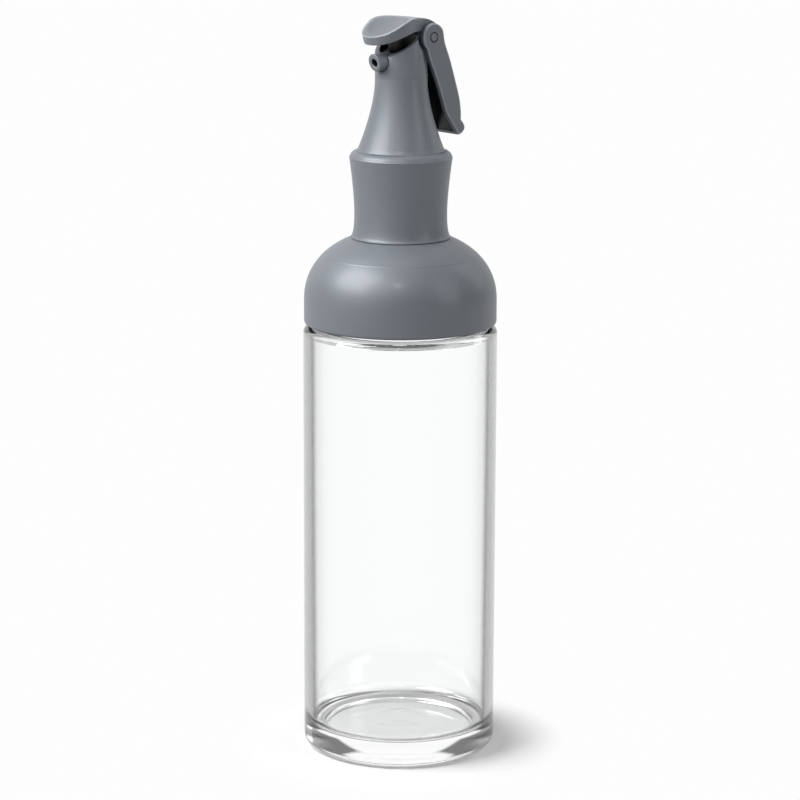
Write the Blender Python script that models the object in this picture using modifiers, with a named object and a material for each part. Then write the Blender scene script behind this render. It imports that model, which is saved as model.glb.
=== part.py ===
# Oil dispenser bottle: a glass body under a domed screw cap, with a waisted collar, a flared
# pouring neck, a nozzle, and a flip lid that a sprung lever at the back of the neck lifts.
# Metres, +Z up. The origin is the middle of the foot, the nozzle points to -Y, the lever is at
# +Y, and the hinge pin lies along X.

from math import acos, asin, atan2, cos, degrees, hypot, pi, radians, sin, sqrt, tan

import bmesh
import bpy
from mathutils import Matrix, Vector

# Fits
GAP = 0.0003                 # between pieces that seat on each other
PIN_PLAY = 0.0004            # round the pin in the lever's ears
HINGE_PLAY = 0.00045         # round what turns in the neck's hinge pocket

# Glass bottle
GLASS_RADIUS = 0.0350
GLASS_WALL = 0.0030
GLASS_BASE = 0.0090
FOOT_ROUND = 0.0038
FLOOR_ROUND = 0.0040
FOOT_WIDTH = 0.0080          # from the side in to the hollow under the foot
PUNT_DEPTH = 0.0008
SHOULDER_HEIGHT = 0.1563
SHOULDER_ROUND = 0.0036
SHOULDER_THICKNESS = 0.0030
FINISH_WALL = 0.0028
FINISH_HEIGHT = 0.0130
FINISH_FILLET = 0.0012
BEAD_HEIGHT = 0.0011
BEAD_HALF_WIDTH = 0.0013
BEAD_DROPS = (0.0035, 0.0085)   # below the lip
LIP_ROUND = 0.0011
THREAD_PLAY = 0.0005         # between the beads and the liner

# Gasket
GASKET_THICKNESS = 0.0014
GASKET_WIDTH = 0.0040

# Dome cap
DOME_INSET = 0.0003          # of the dome behind the glass
DOME_WALL = 0.0022
DOME_LIFT = 0.0014           # from the glass shoulder up to the dome's edge
DOME_SKIRT = 0.0083          # straight part, below the rounded part
DOME_RISE = 0.0256
DOME_FULLNESS = 2.2          # 2 is an ellipse, more is squarer
DOME_EDGE_ROUND = 0.0011

# Liner with funnel and chimney
LINER_EDGE_RISE = 0.0022     # from the dome's edge up to the liner's
LINER_WALL = 0.0016
LINER_PLATE = 0.0015
FUNNEL_RADIUS = 0.0200
FUNNEL_HEIGHT = 0.0095
CHIMNEY_WALL = 0.0016
SEAL_THICKNESS = 0.0014

# Collar
COLLAR_HEIGHT = 0.0310
COLLAR_FOOT_RADIUS = 0.0177
COLLAR_WAIST_RADIUS = 0.01665
COLLAR_TOP_RADIUS = 0.0184
COLLAR_WAIST_HEIGHT = 0.0094
COLLAR_FLARE_POWER = 1.5
COLLAR_FOOT_POWER = 3.5
COLLAR_TOP_ROUND = 0.0028
SPIGOT_RADIUS = 0.0160
SPIGOT_WALL = 0.0014
SPIGOT_DEPTH = 0.0059
SPIGOT_BEAD = 0.0008
DOME_LAND = 0.0018           # thickness of the dome where the collar stands

# Pour neck
NECK_RADIUS = 0.00936        # straight top part
NECK_BASE_RADIUS = 0.0155
CONE_HEIGHT = 0.0241
CONE_POWER = 1.6
NECK_HEIGHT = 0.0416         # from the collar to the flat top
NECK_WALL = 0.0017
SKIRT_DEPTH = 0.0140
SKIRT_WALL = 0.0015
SEAL_LEDGE_DEPTH = 0.0057    # below the collar's top
LEDGE_WIDTH = 0.0016
MOUTH_DEPTH = 0.0083         # the mouth's front, below the flat top
MOUTH_SLOPE = 0.58           # rise of the mouth at its front, per length
MOUTH_CURVE = 0.1123         # how its slope grows towards the back
WELL_WALL = 0.00166
WELL_BACK = 0.0019
WELL_DEPTH = 0.0150          # from the flat top down to the insert's ledge
WELL_LEDGE = 0.0009
WELL_CORNER_WALL = 0.0010    # between the well's back corners and the recesses
LUG_SINK = 0.0006            # how far the lugs run into the neck's wall

# Hinge
PIN_Y = 0.00944
PIN_DROP = 0.00184           # from the flat top down to the pin's axis
PIN_RADIUS = 0.0015
PIN_PROUD = 0.0002           # of its heads, outside the lever's ears
RECESS_SLANT = 0.84          # how far the ears' recesses run forward, per length outwards
LUG_RADIUS = 0.0038
LUG_HALF_WIDTH = 0.0031
LUG_GUSSET = 0.0148          # from the flat top down to the lugs' lower end
SPRING_SLOT_HALF = 0.0019
SPRING_SLOT_DEPTH = 0.0039   # below the pin's axis
SPRING_SLOT_FRONT = 0.0034   # in front of it

# Nozzle and spout insert
NOZZLE_TILT = radians(3.0)
NOZZLE_LEAN = radians(14.0)  # of the face, whose lower edge stands back
NOZZLE_REACH = 0.01245       # face centre in front of the bottle's axis
NOZZLE_DROP = 0.0101         # face centre below the neck's flat top
NOZZLE_RADIUS = 0.0032
NOZZLE_BORE = 0.0016
NOZZLE_EDGE_ROUND = 0.0004
NOZZLE_ROOT = 0.0060         # the barrel's inner end, in front of the bottle's axis
NOZZLE_OVERLAP = 0.0016      # of the bore past that end
NOTCH_PLAY = 0.00035
DECK_DEPTH = 0.0090          # the deck's front, below the neck's flat top
DECK_SLOPE = radians(18.0)
VALVE_RADIUS = 0.0016
VALVE_SIDE = 0.0008
VALVE_Y = -0.0019
VENT_RADIUS = 0.0005
VENT_SIDE = -0.0020
VENT_TUBE_RADIUS = 0.0011
VENT_TUBE_BORE = 0.00065
VENT_TUBE_LENGTH = 0.0800
VENT_SOCKET_DEPTH = 0.0030
VENT_BOSS_WALL = 0.0007
STOPPER_RADIUS = 0.0029
STOPPER_LEAN = radians(11.0)
STOPPER_SEAT = 0.0010        # how far it stands in the lid
STOPPER_STEP = 0.00002       # in which its length is found
STOPPER_BLANK = 0.0060       # below the deck, before its foot is cut

# Lid
LID_HALF_WIDTH = 0.0091
LID_TIP = 0.0155             # in front of the bottle's axis
LID_WIDEST = 0.0062          # in front of the axis
TONGUE_START = 0.0080        # behind the axis
TONGUE_HALF_WIDTH = 0.0047
CHEEK_THICKNESS = 0.00125
CHEEK_RADIUS = 0.0049
CHEEK_HUB = 0.0027
HOOD_RADIUS = 0.0065         # over the pin, at its front
HOOD_BACK_RADIUS = 0.00525
HOOD_POWER = 2.5
HOOD_FRONT = radians(100.0)
HOOD_BACK = radians(38.0)
LID_DRAFT = 0.0010           # how far the lid's wall leans in over its height
LID_WALL_HEIGHT = 0.0040
LID_BLANK_DEPTH = 0.0090     # from the neck's top up and down, past the lid's faces
DISH_MIDDLE = 0.0072         # in front of the bottle's axis
DISH_DEPTH = 0.0011
DISH_LENGTH = 0.0138
DISH_WIDTH = 0.0132
LID_EDGE_ROUND = 0.0005

# Lever
LEVER_LENGTH = 0.0357        # from the pin down to the thumb lip
EAR_RADIUS = 0.0049
EAR_THICKNESS = 0.0018
EAR_HALF_SPAN = 0.0068       # outer faces of the ears
LEVER_WALL = 0.0018
LEVER_FLOOR = 0.0011         # thickness of its lower end
LEVER_EDGE_ROUND = 0.0007
LID_TRAVEL = radians(55.0)
PEG_RADIUS = 0.00075
PEG_REACH = 0.00375
PEG_ANGLE = radians(197.0)
PEG_LENGTH = 0.0013
PIN_EDGE_ROUND = 0.0003

# Spring
WIRE_RADIUS = 0.00025
COIL_RADIUS = 0.0023
COIL_TURNS = 2.25
COIL_PITCH = 0.00095
COIL_POINTS = 10

# Making
SINK = 0.0001                # how far joined shapes run into each other
OVERCUT = 0.0010             # how far cutters run past what they cut

# Resolution of round shapes
GLASS_STEPS = 40
CAP_STEPS = 40
NECK_STEPS = 40
SMALL_STEPS = 24

# Radii of the glass and its cap
PUNT_RADIUS = GLASS_RADIUS - FOOT_WIDTH
DOME_RADIUS = GLASS_RADIUS - DOME_INSET
DOME_INNER = DOME_RADIUS - DOME_WALL
FINISH_RADIUS = DOME_INNER - GAP - LINER_WALL - THREAD_PLAY - BEAD_HEIGHT   # without its beads
FINISH_BORE = FINISH_RADIUS - FINISH_WALL

# Heights that follow
LIP = SHOULDER_HEIGHT + FINISH_HEIGHT
DOME_EDGE = SHOULDER_HEIGHT + DOME_LIFT
DOME_CENTRE = DOME_EDGE + DOME_SKIRT
DOME_LAND_SHARE = (COLLAR_FOOT_RADIUS / DOME_RADIUS) ** DOME_FULLNESS
DOME_TOP = DOME_CENTRE + DOME_RISE * (1.0 - DOME_LAND_SHARE) ** (1.0 / DOME_FULLNESS)
GASKET_BOTTOM = LIP + GAP
PLATE_BOTTOM = GASKET_BOTTOM + GASKET_THICKNESS + GAP
PLATE_TOP = PLATE_BOTTOM + LINER_PLATE
COLLAR_BOTTOM = DOME_TOP + GAP
COLLAR_TOP = COLLAR_BOTTOM + COLLAR_HEIGHT
NECK_BOTTOM = COLLAR_TOP + GAP
NECK_TOP = NECK_BOTTOM + NECK_HEIGHT
SEAL_LEDGE = COLLAR_TOP - SEAL_LEDGE_DEPTH
CHIMNEY_TOP = SEAL_LEDGE - SEAL_THICKNESS - 2.0 * GAP
PIN_Z = NECK_TOP - PIN_DROP
NOZZLE_Z = NECK_TOP - NOZZLE_DROP
WELL_FLOOR = NECK_TOP - WELL_DEPTH

# Radii and reaches that follow
COLLAR_BORE = SPIGOT_RADIUS - SPIGOT_WALL
SKIRT_RADIUS = COLLAR_BORE - GAP
SKIRT_BORE = SKIRT_RADIUS - SKIRT_WALL
CHIMNEY_RADIUS = SKIRT_BORE - GAP
NECK_BORE = SKIRT_BORE - LEDGE_WIDTH
WELL_RADIUS = NECK_RADIUS - WELL_WALL
INSERT_RADIUS = WELL_RADIUS - GAP
POCKET_RADIUS = max(EAR_RADIUS, CHEEK_RADIUS) + HINGE_PLAY
EAR_INNER = EAR_HALF_SPAN - EAR_THICKNESS
RECESS_START = EAR_INNER - HINGE_PLAY  # from the middle plane
RECESS_REACH = PIN_Y - POCKET_RADIUS + RECESS_SLANT * RECESS_START
HOOD_BORE = LUG_RADIUS + PIN_PLAY
LID_SPAN = PIN_Y + LID_TIP + OVERCUT   # from the pin to just past the tip
UNDERSIDE = NECK_TOP + GAP + SINK      # of the lid over the neck

PIN = Vector((0.0, PIN_Y, PIN_Z))
NOZZLE_FACE = Vector((0.0, -NOZZLE_REACH, NOZZLE_Z))
NOZZLE_AXIS = Vector((0.0, -cos(NOZZLE_TILT), -sin(NOZZLE_TILT)))


# Scene and collections

def clear_scene():
    for item in list(bpy.data.objects):
        bpy.data.objects.remove(item, do_unlink=True)


def new_collection(name):
    collection = bpy.data.collections.new(name)
    bpy.context.scene.collection.children.link(collection)
    return collection


clear_scene()
PARTS = new_collection("oil_dispenser_bottle")
CUTTERS = new_collection("cutters")


def add_object(name, mesh):
    item = bpy.data.objects.new(name, mesh)
    PARTS.objects.link(item)
    return item


def add_material(item, color, roughness, transmission=0.0):
    material = bpy.data.materials.new(item.name)
    material.use_nodes = True
    shader = material.node_tree.nodes["Principled BSDF"]
    shader.inputs["Base Color"].default_value = (*color, 1.0)
    shader.inputs["Roughness"].default_value = roughness
    shader.inputs["Metallic"].default_value = 0.0
    shader.inputs["Transmission Weight"].default_value = transmission
    item.data.materials.clear()
    item.data.materials.append(material)
    return material


def grey_plastic(item):
    return add_material(item, (0.125, 0.140, 0.160), 0.45)


def smooth(item):
    item.data.shade_smooth()
    item.data.set_sharp_from_angle(angle=radians(35.0))


# Outlines

def arc(centre, radius, start, end, steps):
    """Points on an arc, angles in degrees, both ends included."""
    points = []
    for index in range(steps + 1):
        angle = radians(start + (end - start) * index / steps)
        points.append((centre[0] + radius * cos(angle), centre[1] + radius * sin(angle)))
    return points


def through(points, steps):
    """A smooth curve through a few points."""
    ends = [points[0], *points, points[-1]]
    curve = []
    for index in range(len(points) - 1):
        before, start, end, after = ends[index:index + 4]
        for step in range(steps):
            t = step / steps
            curve.append(tuple(
                0.5 * (2.0 * b + (c - a) * t + (2.0 * a - 5.0 * b + 4.0 * c - d) * t ** 2
                       + (3.0 * b - a - 3.0 * c + d) * t ** 3)
                for a, b, c, d in zip(before, start, end, after)))
    curve.append(points[-1])
    return curve


def flare(radius, rise, share, power):
    """Radius of a flared wall, at a share of its height."""
    return radius + rise * max(share, 0.0) ** power


# Solids

def turned(name, profile, steps):
    """A profile of (radius, height) turned round Z. It runs down its outer side."""
    mesh = bpy.data.meshes.new(name)
    points = [(radius, 0.0, height) for radius, height in profile]
    edges = [(index, index + 1) for index in range(len(points) - 1)]
    if profile[0][0] > 0.0:
        edges.append((len(points) - 1, 0))
    mesh.from_pydata(points, edges, [])
    item = add_object(name, mesh)
    screw = item.modifiers.new("turn", "SCREW")
    screw.axis = "Z"
    screw.angle = 2.0 * pi
    screw.steps = steps
    screw.render_steps = steps
    screw.use_merge_vertices = True
    screw.merge_threshold = 0.00001
    screw.use_smooth_shade = True
    return item


def outline_solid(name, outline, thickness, matrix):
    """A flat outline, thickened along its own Z, half to each side of the matrix's plane."""
    curve = bpy.data.curves.new(name, "CURVE")
    curve.dimensions = "2D"
    curve.fill_mode = "BOTH"
    curve.extrude = thickness / 2.0
    spline = curve.splines.new("POLY")
    spline.points.add(len(outline) - 1)
    for point, (across, along) in zip(spline.points, outline):
        point.co = (across, along, 0.0, 1.0)
    spline.use_cyclic_u = True
    guide = bpy.data.objects.new(name, curve)
    PARTS.objects.link(guide)
    guide.matrix_world = matrix
    return as_mesh(guide)


def as_mesh(guide):
    """The curve object as a closed mesh object with its caps welded."""
    bpy.context.view_layer.update()
    depsgraph = bpy.context.evaluated_depsgraph_get()
    mesh = bpy.data.meshes.new_from_object(guide.evaluated_get(depsgraph))
    name = guide.name
    place = guide.matrix_world.copy()
    bpy.data.objects.remove(guide, do_unlink=True)
    shape = bmesh.new()
    shape.from_mesh(mesh)
    bmesh.ops.remove_doubles(shape, verts=shape.verts, dist=0.000001)
    bmesh.ops.dissolve_limit(shape, angle_limit=radians(0.1), verts=shape.verts, edges=shape.edges)
    bmesh.ops.recalc_face_normals(shape, faces=shape.faces)
    shape.to_mesh(mesh)
    shape.free()
    item = add_object(name, mesh)
    item.matrix_world = place
    return item


def side_solid(name, outline, low, high):
    """A side outline of (Y, Z) points, solid from x = low to x = high."""
    middle = (low + high) / 2.0
    matrix = Matrix(((0, 0, 1, middle), (1, 0, 0, 0), (0, 1, 0, 0), (0, 0, 0, 1)))
    return outline_solid(name, outline, high - low, matrix)


def plan_solid(name, outline, bottom, top):
    """A plan outline of (X, Y) points, solid from z = bottom to z = top."""
    return outline_solid(name, outline, top - bottom,
                         Matrix.Translation((0.0, 0.0, (bottom + top) / 2.0)))


def rod(name, start, end, radius, steps=SMALL_STEPS):
    """A round rod between two points."""
    start = Vector(start)
    axis = Vector(end) - start
    shape = bmesh.new()
    turn = axis.to_track_quat("Z", "Y").to_matrix().to_4x4()
    place = Matrix.Translation(start + axis / 2.0) @ turn
    bmesh.ops.create_cone(shape, cap_ends=True, segments=steps, radius1=radius, radius2=radius,
                          depth=axis.length, matrix=place)
    mesh = bpy.data.meshes.new(name)
    shape.to_mesh(mesh)
    shape.free()
    return add_object(name, mesh)


def block(name, low, high):
    """A box between two corners."""
    low = Vector(low)
    high = Vector(high)
    size = high - low
    shape = bmesh.new()
    place = Matrix.Translation((low + high) / 2.0) @ Matrix.Diagonal((*size, 1.0))
    bmesh.ops.create_cube(shape, size=1.0, matrix=place)
    mesh = bpy.data.meshes.new(name)
    shape.to_mesh(mesh)
    shape.free()
    return add_object(name, mesh)


def combine(body, other, operation):
    modifier = body.modifiers.new(other.name, "BOOLEAN")
    modifier.operation = operation
    modifier.solver = "EXACT"
    modifier.object = other
    PARTS.objects.unlink(other)
    CUTTERS.objects.link(other)
    other.hide_render = True
    other.display_type = "WIRE"


def cut(body, cutter):
    combine(body, cutter, "DIFFERENCE")


def join(body, other):
    combine(body, other, "UNION")


def keep_inside(body, other):
    combine(body, other, "INTERSECT")


def round_edges(item, width, segments, limit):
    bevel = item.modifiers.new("round", "BEVEL")
    bevel.width = width
    bevel.segments = segments
    bevel.limit_method = "ANGLE"
    bevel.angle_limit = radians(limit)


def around_pin(radius, angle):
    """The (Y, Z) point at a distance and an angle from the pin, 0 at the back, 90 up."""
    return PIN_Y + radius * cos(angle), PIN_Z + radius * sin(angle)


def mouth_height(y):
    """Height of the slanted mouth at a distance y along Y."""
    back = y + NECK_RADIUS
    curve = MOUTH_CURVE * back * abs(back) / NECK_RADIUS
    return NECK_TOP - MOUTH_DEPTH + MOUTH_SLOPE * back + curve


def deck_height(y):
    return NECK_TOP - DECK_DEPTH + tan(DECK_SLOPE) * (y + NECK_RADIUS)


# Glass bottle

def bead(drop):
    """A round bead on the screw neck, a distance below the lip."""
    middle = LIP - drop
    return [(FINISH_RADIUS, middle + BEAD_HALF_WIDTH),
            (FINISH_RADIUS + BEAD_HEIGHT, middle + BEAD_HALF_WIDTH / 3.0),
            (FINISH_RADIUS + BEAD_HEIGHT, middle - BEAD_HALF_WIDTH / 3.0),
            (FINISH_RADIUS, middle - BEAD_HALF_WIDTH)]


def make_glass_bottle():
    inner = GLASS_RADIUS - GLASS_WALL
    ceiling = SHOULDER_HEIGHT - SHOULDER_THICKNESS
    inner_round = SHOULDER_ROUND * 2.0 / 3.0
    profile = [(0.0, GLASS_BASE)]
    profile += arc((inner - FLOOR_ROUND, GLASS_BASE + FLOOR_ROUND), FLOOR_ROUND, -90, 0, 5)
    profile += arc((inner - inner_round, ceiling - inner_round), inner_round, 0, 90, 3)
    profile += arc((FINISH_BORE + FINISH_FILLET, ceiling + FINISH_FILLET), FINISH_FILLET, 270, 180, 2)
    profile += arc((FINISH_BORE + LIP_ROUND, LIP - LIP_ROUND), LIP_ROUND, 180, 90, 2)
    profile += arc((FINISH_RADIUS - LIP_ROUND, LIP - LIP_ROUND), LIP_ROUND, 90, 0, 2)
    for drop in BEAD_DROPS:
        profile += bead(drop)
    profile += arc((FINISH_RADIUS + FINISH_FILLET, SHOULDER_HEIGHT + FINISH_FILLET), FINISH_FILLET,
                   180, 270, 2)
    profile += arc((GLASS_RADIUS - SHOULDER_ROUND, SHOULDER_HEIGHT - SHOULDER_ROUND),
                   SHOULDER_ROUND, 90, 0, 5)
    profile += arc((GLASS_RADIUS - FOOT_ROUND, FOOT_ROUND), FOOT_ROUND, 0, -90, 5)
    profile += [(PUNT_RADIUS + PUNT_DEPTH, 0.0), (PUNT_RADIUS, PUNT_DEPTH), (0.0, PUNT_DEPTH)]
    bottle = turned("glass_bottle", profile, GLASS_STEPS)
    add_material(bottle, (0.96, 0.98, 0.98), 0.02, transmission=1.0)
    return bottle


# Cap, from the glass lip up

def make_bottle_gasket():
    outer = FINISH_RADIUS + BEAD_HEIGHT
    inner = outer - GASKET_WIDTH
    top = GASKET_BOTTOM + GASKET_THICKNESS
    gasket = turned("bottle_gasket", [(inner, top), (outer, top), (outer, GASKET_BOTTOM),
                                      (inner, GASKET_BOTTOM)], CAP_STEPS)
    add_material(gasket, (0.80, 0.80, 0.78), 0.6)
    return gasket


def dome_arc(inset, angles):
    """Points of the dome's curve, or of one inside it, from 0 at its edge to pi / 2 on the axis."""
    power = 2.0 / DOME_FULLNESS
    return [((DOME_RADIUS - inset) * cos(angle) ** power,
             DOME_CENTRE + (DOME_RISE - inset) * max(sin(angle), 0.0) ** power)
            for angle in angles]


def dome_angle(radius, inset):
    """Where the dome's curve, or one inside it, has a radius."""
    return acos((radius / (DOME_RADIUS - inset)) ** (DOME_FULLNESS / 2.0))


def spaced(start, end, steps):
    return [start + (end - start) * index / steps for index in range(steps + 1)]


def make_dome_cap():
    hole = SPIGOT_RADIUS + GAP
    profile = [(hole, DOME_TOP)]
    profile += dome_arc(0.0, spaced(dome_angle(COLLAR_FOOT_RADIUS, 0.0), 0.0, 12))
    profile += arc((DOME_RADIUS - DOME_EDGE_ROUND, DOME_EDGE + DOME_EDGE_ROUND),
                   DOME_EDGE_ROUND, 0, -90, 3)
    profile += [(DOME_INNER, DOME_EDGE)]
    profile += dome_arc(DOME_WALL, spaced(0.0, dome_angle(hole, DOME_WALL), 10))
    dome = turned("dome_cap", profile, CAP_STEPS)
    grey_plastic(dome)
    return dome


def make_cap_liner():
    inset = DOME_WALL + GAP
    edge = DOME_EDGE + LINER_EDGE_RISE
    outer = DOME_RADIUS - inset
    shoulder = asin(((PLATE_TOP - DOME_CENTRE) / (DOME_RISE - inset)) ** (DOME_FULLNESS / 2.0))
    funnel_top = PLATE_TOP + FUNNEL_HEIGHT
    bore = CHIMNEY_RADIUS - CHIMNEY_WALL
    inner = outer - LINER_WALL
    profile = [(bore, CHIMNEY_TOP), (CHIMNEY_RADIUS, CHIMNEY_TOP), (CHIMNEY_RADIUS, funnel_top),
               (FUNNEL_RADIUS, PLATE_TOP)]
    profile += dome_arc(inset, spaced(shoulder, 0.0, 3))
    profile += [(outer, edge), (inner, edge), (inner, PLATE_BOTTOM),
                (FUNNEL_RADIUS - CHIMNEY_WALL, PLATE_BOTTOM), (bore, funnel_top)]
    liner = turned("cap_liner", profile, CAP_STEPS)
    add_material(liner, (0.75, 0.76, 0.77), 0.5)
    return liner


def make_chimney_seal():
    inner = CHIMNEY_RADIUS - CHIMNEY_WALL
    bottom = CHIMNEY_TOP + GAP
    top = bottom + SEAL_THICKNESS
    seal = turned("chimney_seal", [(inner, top), (CHIMNEY_RADIUS, top), (CHIMNEY_RADIUS, bottom),
                                   (inner, bottom)], CAP_STEPS)
    add_material(seal, (0.03, 0.03, 0.03), 0.7)
    return seal


def make_neck_collar():
    waist = COLLAR_BOTTOM + COLLAR_WAIST_HEIGHT
    round_centre = COLLAR_TOP - COLLAR_TOP_ROUND
    profile = [(COLLAR_BORE, COLLAR_TOP)]
    profile += arc((COLLAR_TOP_RADIUS - COLLAR_TOP_ROUND, round_centre), COLLAR_TOP_ROUND, 90, 0, 5)
    for share in spaced(0.9, 0.0, 6):
        radius = flare(COLLAR_WAIST_RADIUS, COLLAR_TOP_RADIUS - COLLAR_WAIST_RADIUS, share,
                       COLLAR_FLARE_POWER)
        profile.append((radius, waist + (round_centre - waist) * share))
    for share in spaced(0.25, 1.0, 5):
        radius = flare(COLLAR_WAIST_RADIUS, COLLAR_FOOT_RADIUS - COLLAR_WAIST_RADIUS, share,
                       COLLAR_FOOT_POWER)
        profile.append((radius, waist - COLLAR_WAIST_HEIGHT * share))
    bead_top = DOME_TOP - DOME_LAND - 2.0 * GAP
    bead_foot = COLLAR_BOTTOM - SPIGOT_DEPTH
    profile += [(SPIGOT_RADIUS, COLLAR_BOTTOM), (SPIGOT_RADIUS, bead_top),
                (SPIGOT_RADIUS + SPIGOT_BEAD, bead_top - SPIGOT_BEAD / 2.0),
                (SPIGOT_RADIUS + SPIGOT_BEAD, bead_top - SPIGOT_BEAD),
                (SPIGOT_RADIUS, bead_foot), (COLLAR_BORE, bead_foot)]
    collar = turned("neck_collar", profile, CAP_STEPS)
    grey_plastic(collar)
    return collar


# Pour neck

def cone_radius(height):
    """Outer radius of the pour neck at a height."""
    share = (NECK_BOTTOM + CONE_HEIGHT - height) / CONE_HEIGHT
    return flare(NECK_RADIUS, NECK_BASE_RADIUS - NECK_RADIUS, share, CONE_POWER)


def neck_profile():
    bore_top = WELL_RADIUS - WELL_LEDGE
    cone_top = NECK_BOTTOM + CONE_HEIGHT
    profile = [(0.0, NECK_TOP), (NECK_RADIUS, NECK_TOP), (NECK_RADIUS, cone_top)]
    heights = spaced(cone_top, NECK_BOTTOM, 10)[1:]
    profile += [(cone_radius(height), height) for height in heights]
    skirt_foot = COLLAR_TOP - SKIRT_DEPTH
    profile += [(SKIRT_RADIUS, NECK_BOTTOM), (SKIRT_RADIUS, skirt_foot), (SKIRT_BORE, skirt_foot),
                (SKIRT_BORE, SEAL_LEDGE), (NECK_BORE, SEAL_LEDGE)]
    inside = [(cone_radius(height) - NECK_WALL, height) for height in reversed(heights)]
    profile += [(NECK_BORE, NECK_BOTTOM + CONE_HEIGHT / 4.0)]
    profile += [(radius, height) for radius, height in inside
                if bore_top < radius < NECK_BORE and height > NECK_BOTTOM + CONE_HEIGHT / 4.0]
    profile += [(bore_top, cone_top), (bore_top, WELL_FLOOR + WELL_LEDGE), (0.0, WELL_FLOOR + WELL_LEDGE)]
    return profile


def well_outline(inset, steps):
    """Plan of the well, drawn in by an inset: round and flat at the back, its corners cut off."""
    radius = WELL_RADIUS - inset
    back = WELL_BACK - inset
    slope = hypot(1.0, RECESS_SLANT)
    reach = RECESS_REACH - (WELL_CORNER_WALL + inset) * slope
    half = degrees(atan2(1.0, RECESS_SLANT) - acos(reach / slope / radius))
    corner = (reach - back) / RECESS_SLANT
    return arc((0.0, 0.0), radius, 180.0 - half, 360.0 + half, steps) + [(corner, back), (-corner, back)]


def lug_outline():
    """Side outline of the hinge lugs and the gusset that carries them."""
    foot = NECK_TOP - LUG_GUSSET
    block_bottom = WELL_FLOOR + 2.0 * WELL_LEDGE
    inside = NECK_RADIUS - WELL_WALL / 2.0 - LUG_SINK
    outline = [around_pin(LUG_RADIUS, radians(angle)) for angle in spaced(150.0, -35.0, 12)]
    outline += [(inside, foot), (inside - LUG_SINK, foot), (inside - LUG_SINK, block_bottom),
                (PIN_Y - LUG_RADIUS, block_bottom), (PIN_Y - LUG_RADIUS, NECK_TOP - LUG_SINK)]
    return outline


def recess_outline():
    """Side outline of the room for an ear and its arm, with the squeeze."""
    radius = POCKET_RADIUS + 2.0 * SINK
    ear = [around_pin(radius, radians(angle)) for angle in spaced(64.0, 227.0, 14)]
    return ear + lever_points([(-0.050, -0.350), (0.129, -0.392)])


def recess_cutter(side):
    """The room for an ear, slanted forwards so that the ear stands free of the neck."""
    far = 2.0 * NECK_RADIUS
    shape = bmesh.new()
    rings = []
    for across in (RECESS_START, far):
        ahead = RECESS_SLANT * (across - RECESS_START)
        rings.append([shape.verts.new((side * across, y - ahead, z)) for y, z in recess_outline()])
    for index in range(len(rings[0])):
        following = (index + 1) % len(rings[0])
        shape.faces.new((rings[0][index], rings[0][following], rings[1][following], rings[1][index]))
    shape.faces.new(rings[0])
    shape.faces.new(rings[1])
    bmesh.ops.recalc_face_normals(shape, faces=shape.faces)
    mesh = bpy.data.meshes.new("recess_cutter")
    shape.to_mesh(mesh)
    shape.free()
    return add_object("recess_cutter", mesh)


def make_pour_neck():
    neck = turned("pour_neck", neck_profile(), NECK_STEPS)
    wide = 2.0 * NECK_RADIUS
    front = -NECK_RADIUS - OVERCUT
    back = WELL_BACK + OVERCUT
    mouth = [(y, mouth_height(y)) for y in spaced(front, back, 10)]
    mouth += [(back, NECK_TOP + wide), (front, NECK_TOP + wide)]
    cut(neck, side_solid("mouth_cutter", mouth, -wide, wide))
    cut(neck, plan_solid("well_cutter", well_outline(0.0, 28), WELL_FLOOR, NECK_TOP + wide))
    for side in (-1.0, 1.0):
        near = side * (LUG_HALF_WIDTH - SINK)
        cut(neck, rod("pocket_cutter", (near, PIN_Y, PIN_Z), (side * wide, PIN_Y, PIN_Z),
                      POCKET_RADIUS, 32))
        cut(neck, recess_cutter(side))
    join(neck, side_solid("lugs", lug_outline(), -LUG_HALF_WIDTH, LUG_HALF_WIDTH))
    slot_low = (-SPRING_SLOT_HALF, PIN_Y - SPRING_SLOT_FRONT, PIN_Z - SPRING_SLOT_DEPTH)
    slot_high = (SPRING_SLOT_HALF, PIN_Y + 2.0 * LUG_RADIUS, PIN_Z + 2.0 * LUG_RADIUS)
    cut(neck, block("spring_slot", slot_low, slot_high))
    cut(neck, rod("pin_hole", (-wide, PIN_Y, PIN_Z), (wide, PIN_Y, PIN_Z), PIN_RADIUS + GAP))
    cut(neck, notch_cutter())
    grey_plastic(neck)
    return neck


def nozzle_point(distance):
    """A point on the nozzle's axis, a distance in from the middle of its face."""
    return NOZZLE_FACE - NOZZLE_AXIS * distance


def notch_cutter():
    """Round notch in the mouth's low front, for the nozzle."""
    inner = NOZZLE_REACH - WELL_RADIUS + OVERCUT
    return rod("notch_cutter", nozzle_point(0.0), nozzle_point(inner), NOZZLE_RADIUS + NOTCH_PLAY, 33)


# Spout insert and what stands in it

def make_nozzle_barrel():
    """The nozzle's barrel, with its leaning face and its top planed level behind the face."""
    barrel = rod("nozzle_barrel", nozzle_point(-2.0 * OVERCUT),
                 nozzle_point(NOZZLE_REACH - NOZZLE_ROOT), NOZZLE_RADIUS, 32)
    reach = 3.0 * NOZZLE_RADIUS
    face = [(-NOZZLE_REACH + side * reach * sin(NOZZLE_LEAN), NOZZLE_Z - side * reach * cos(NOZZLE_LEAN))
            for side in (-1.0, 1.0)]
    beyond = [(y - reach, z) for y, z in reversed(face)]
    cut(barrel, side_solid("face_cutter", face + beyond, -reach, reach))
    round_edges(barrel, NOZZLE_EDGE_ROUND, 2, 50.0)
    return barrel


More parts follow.
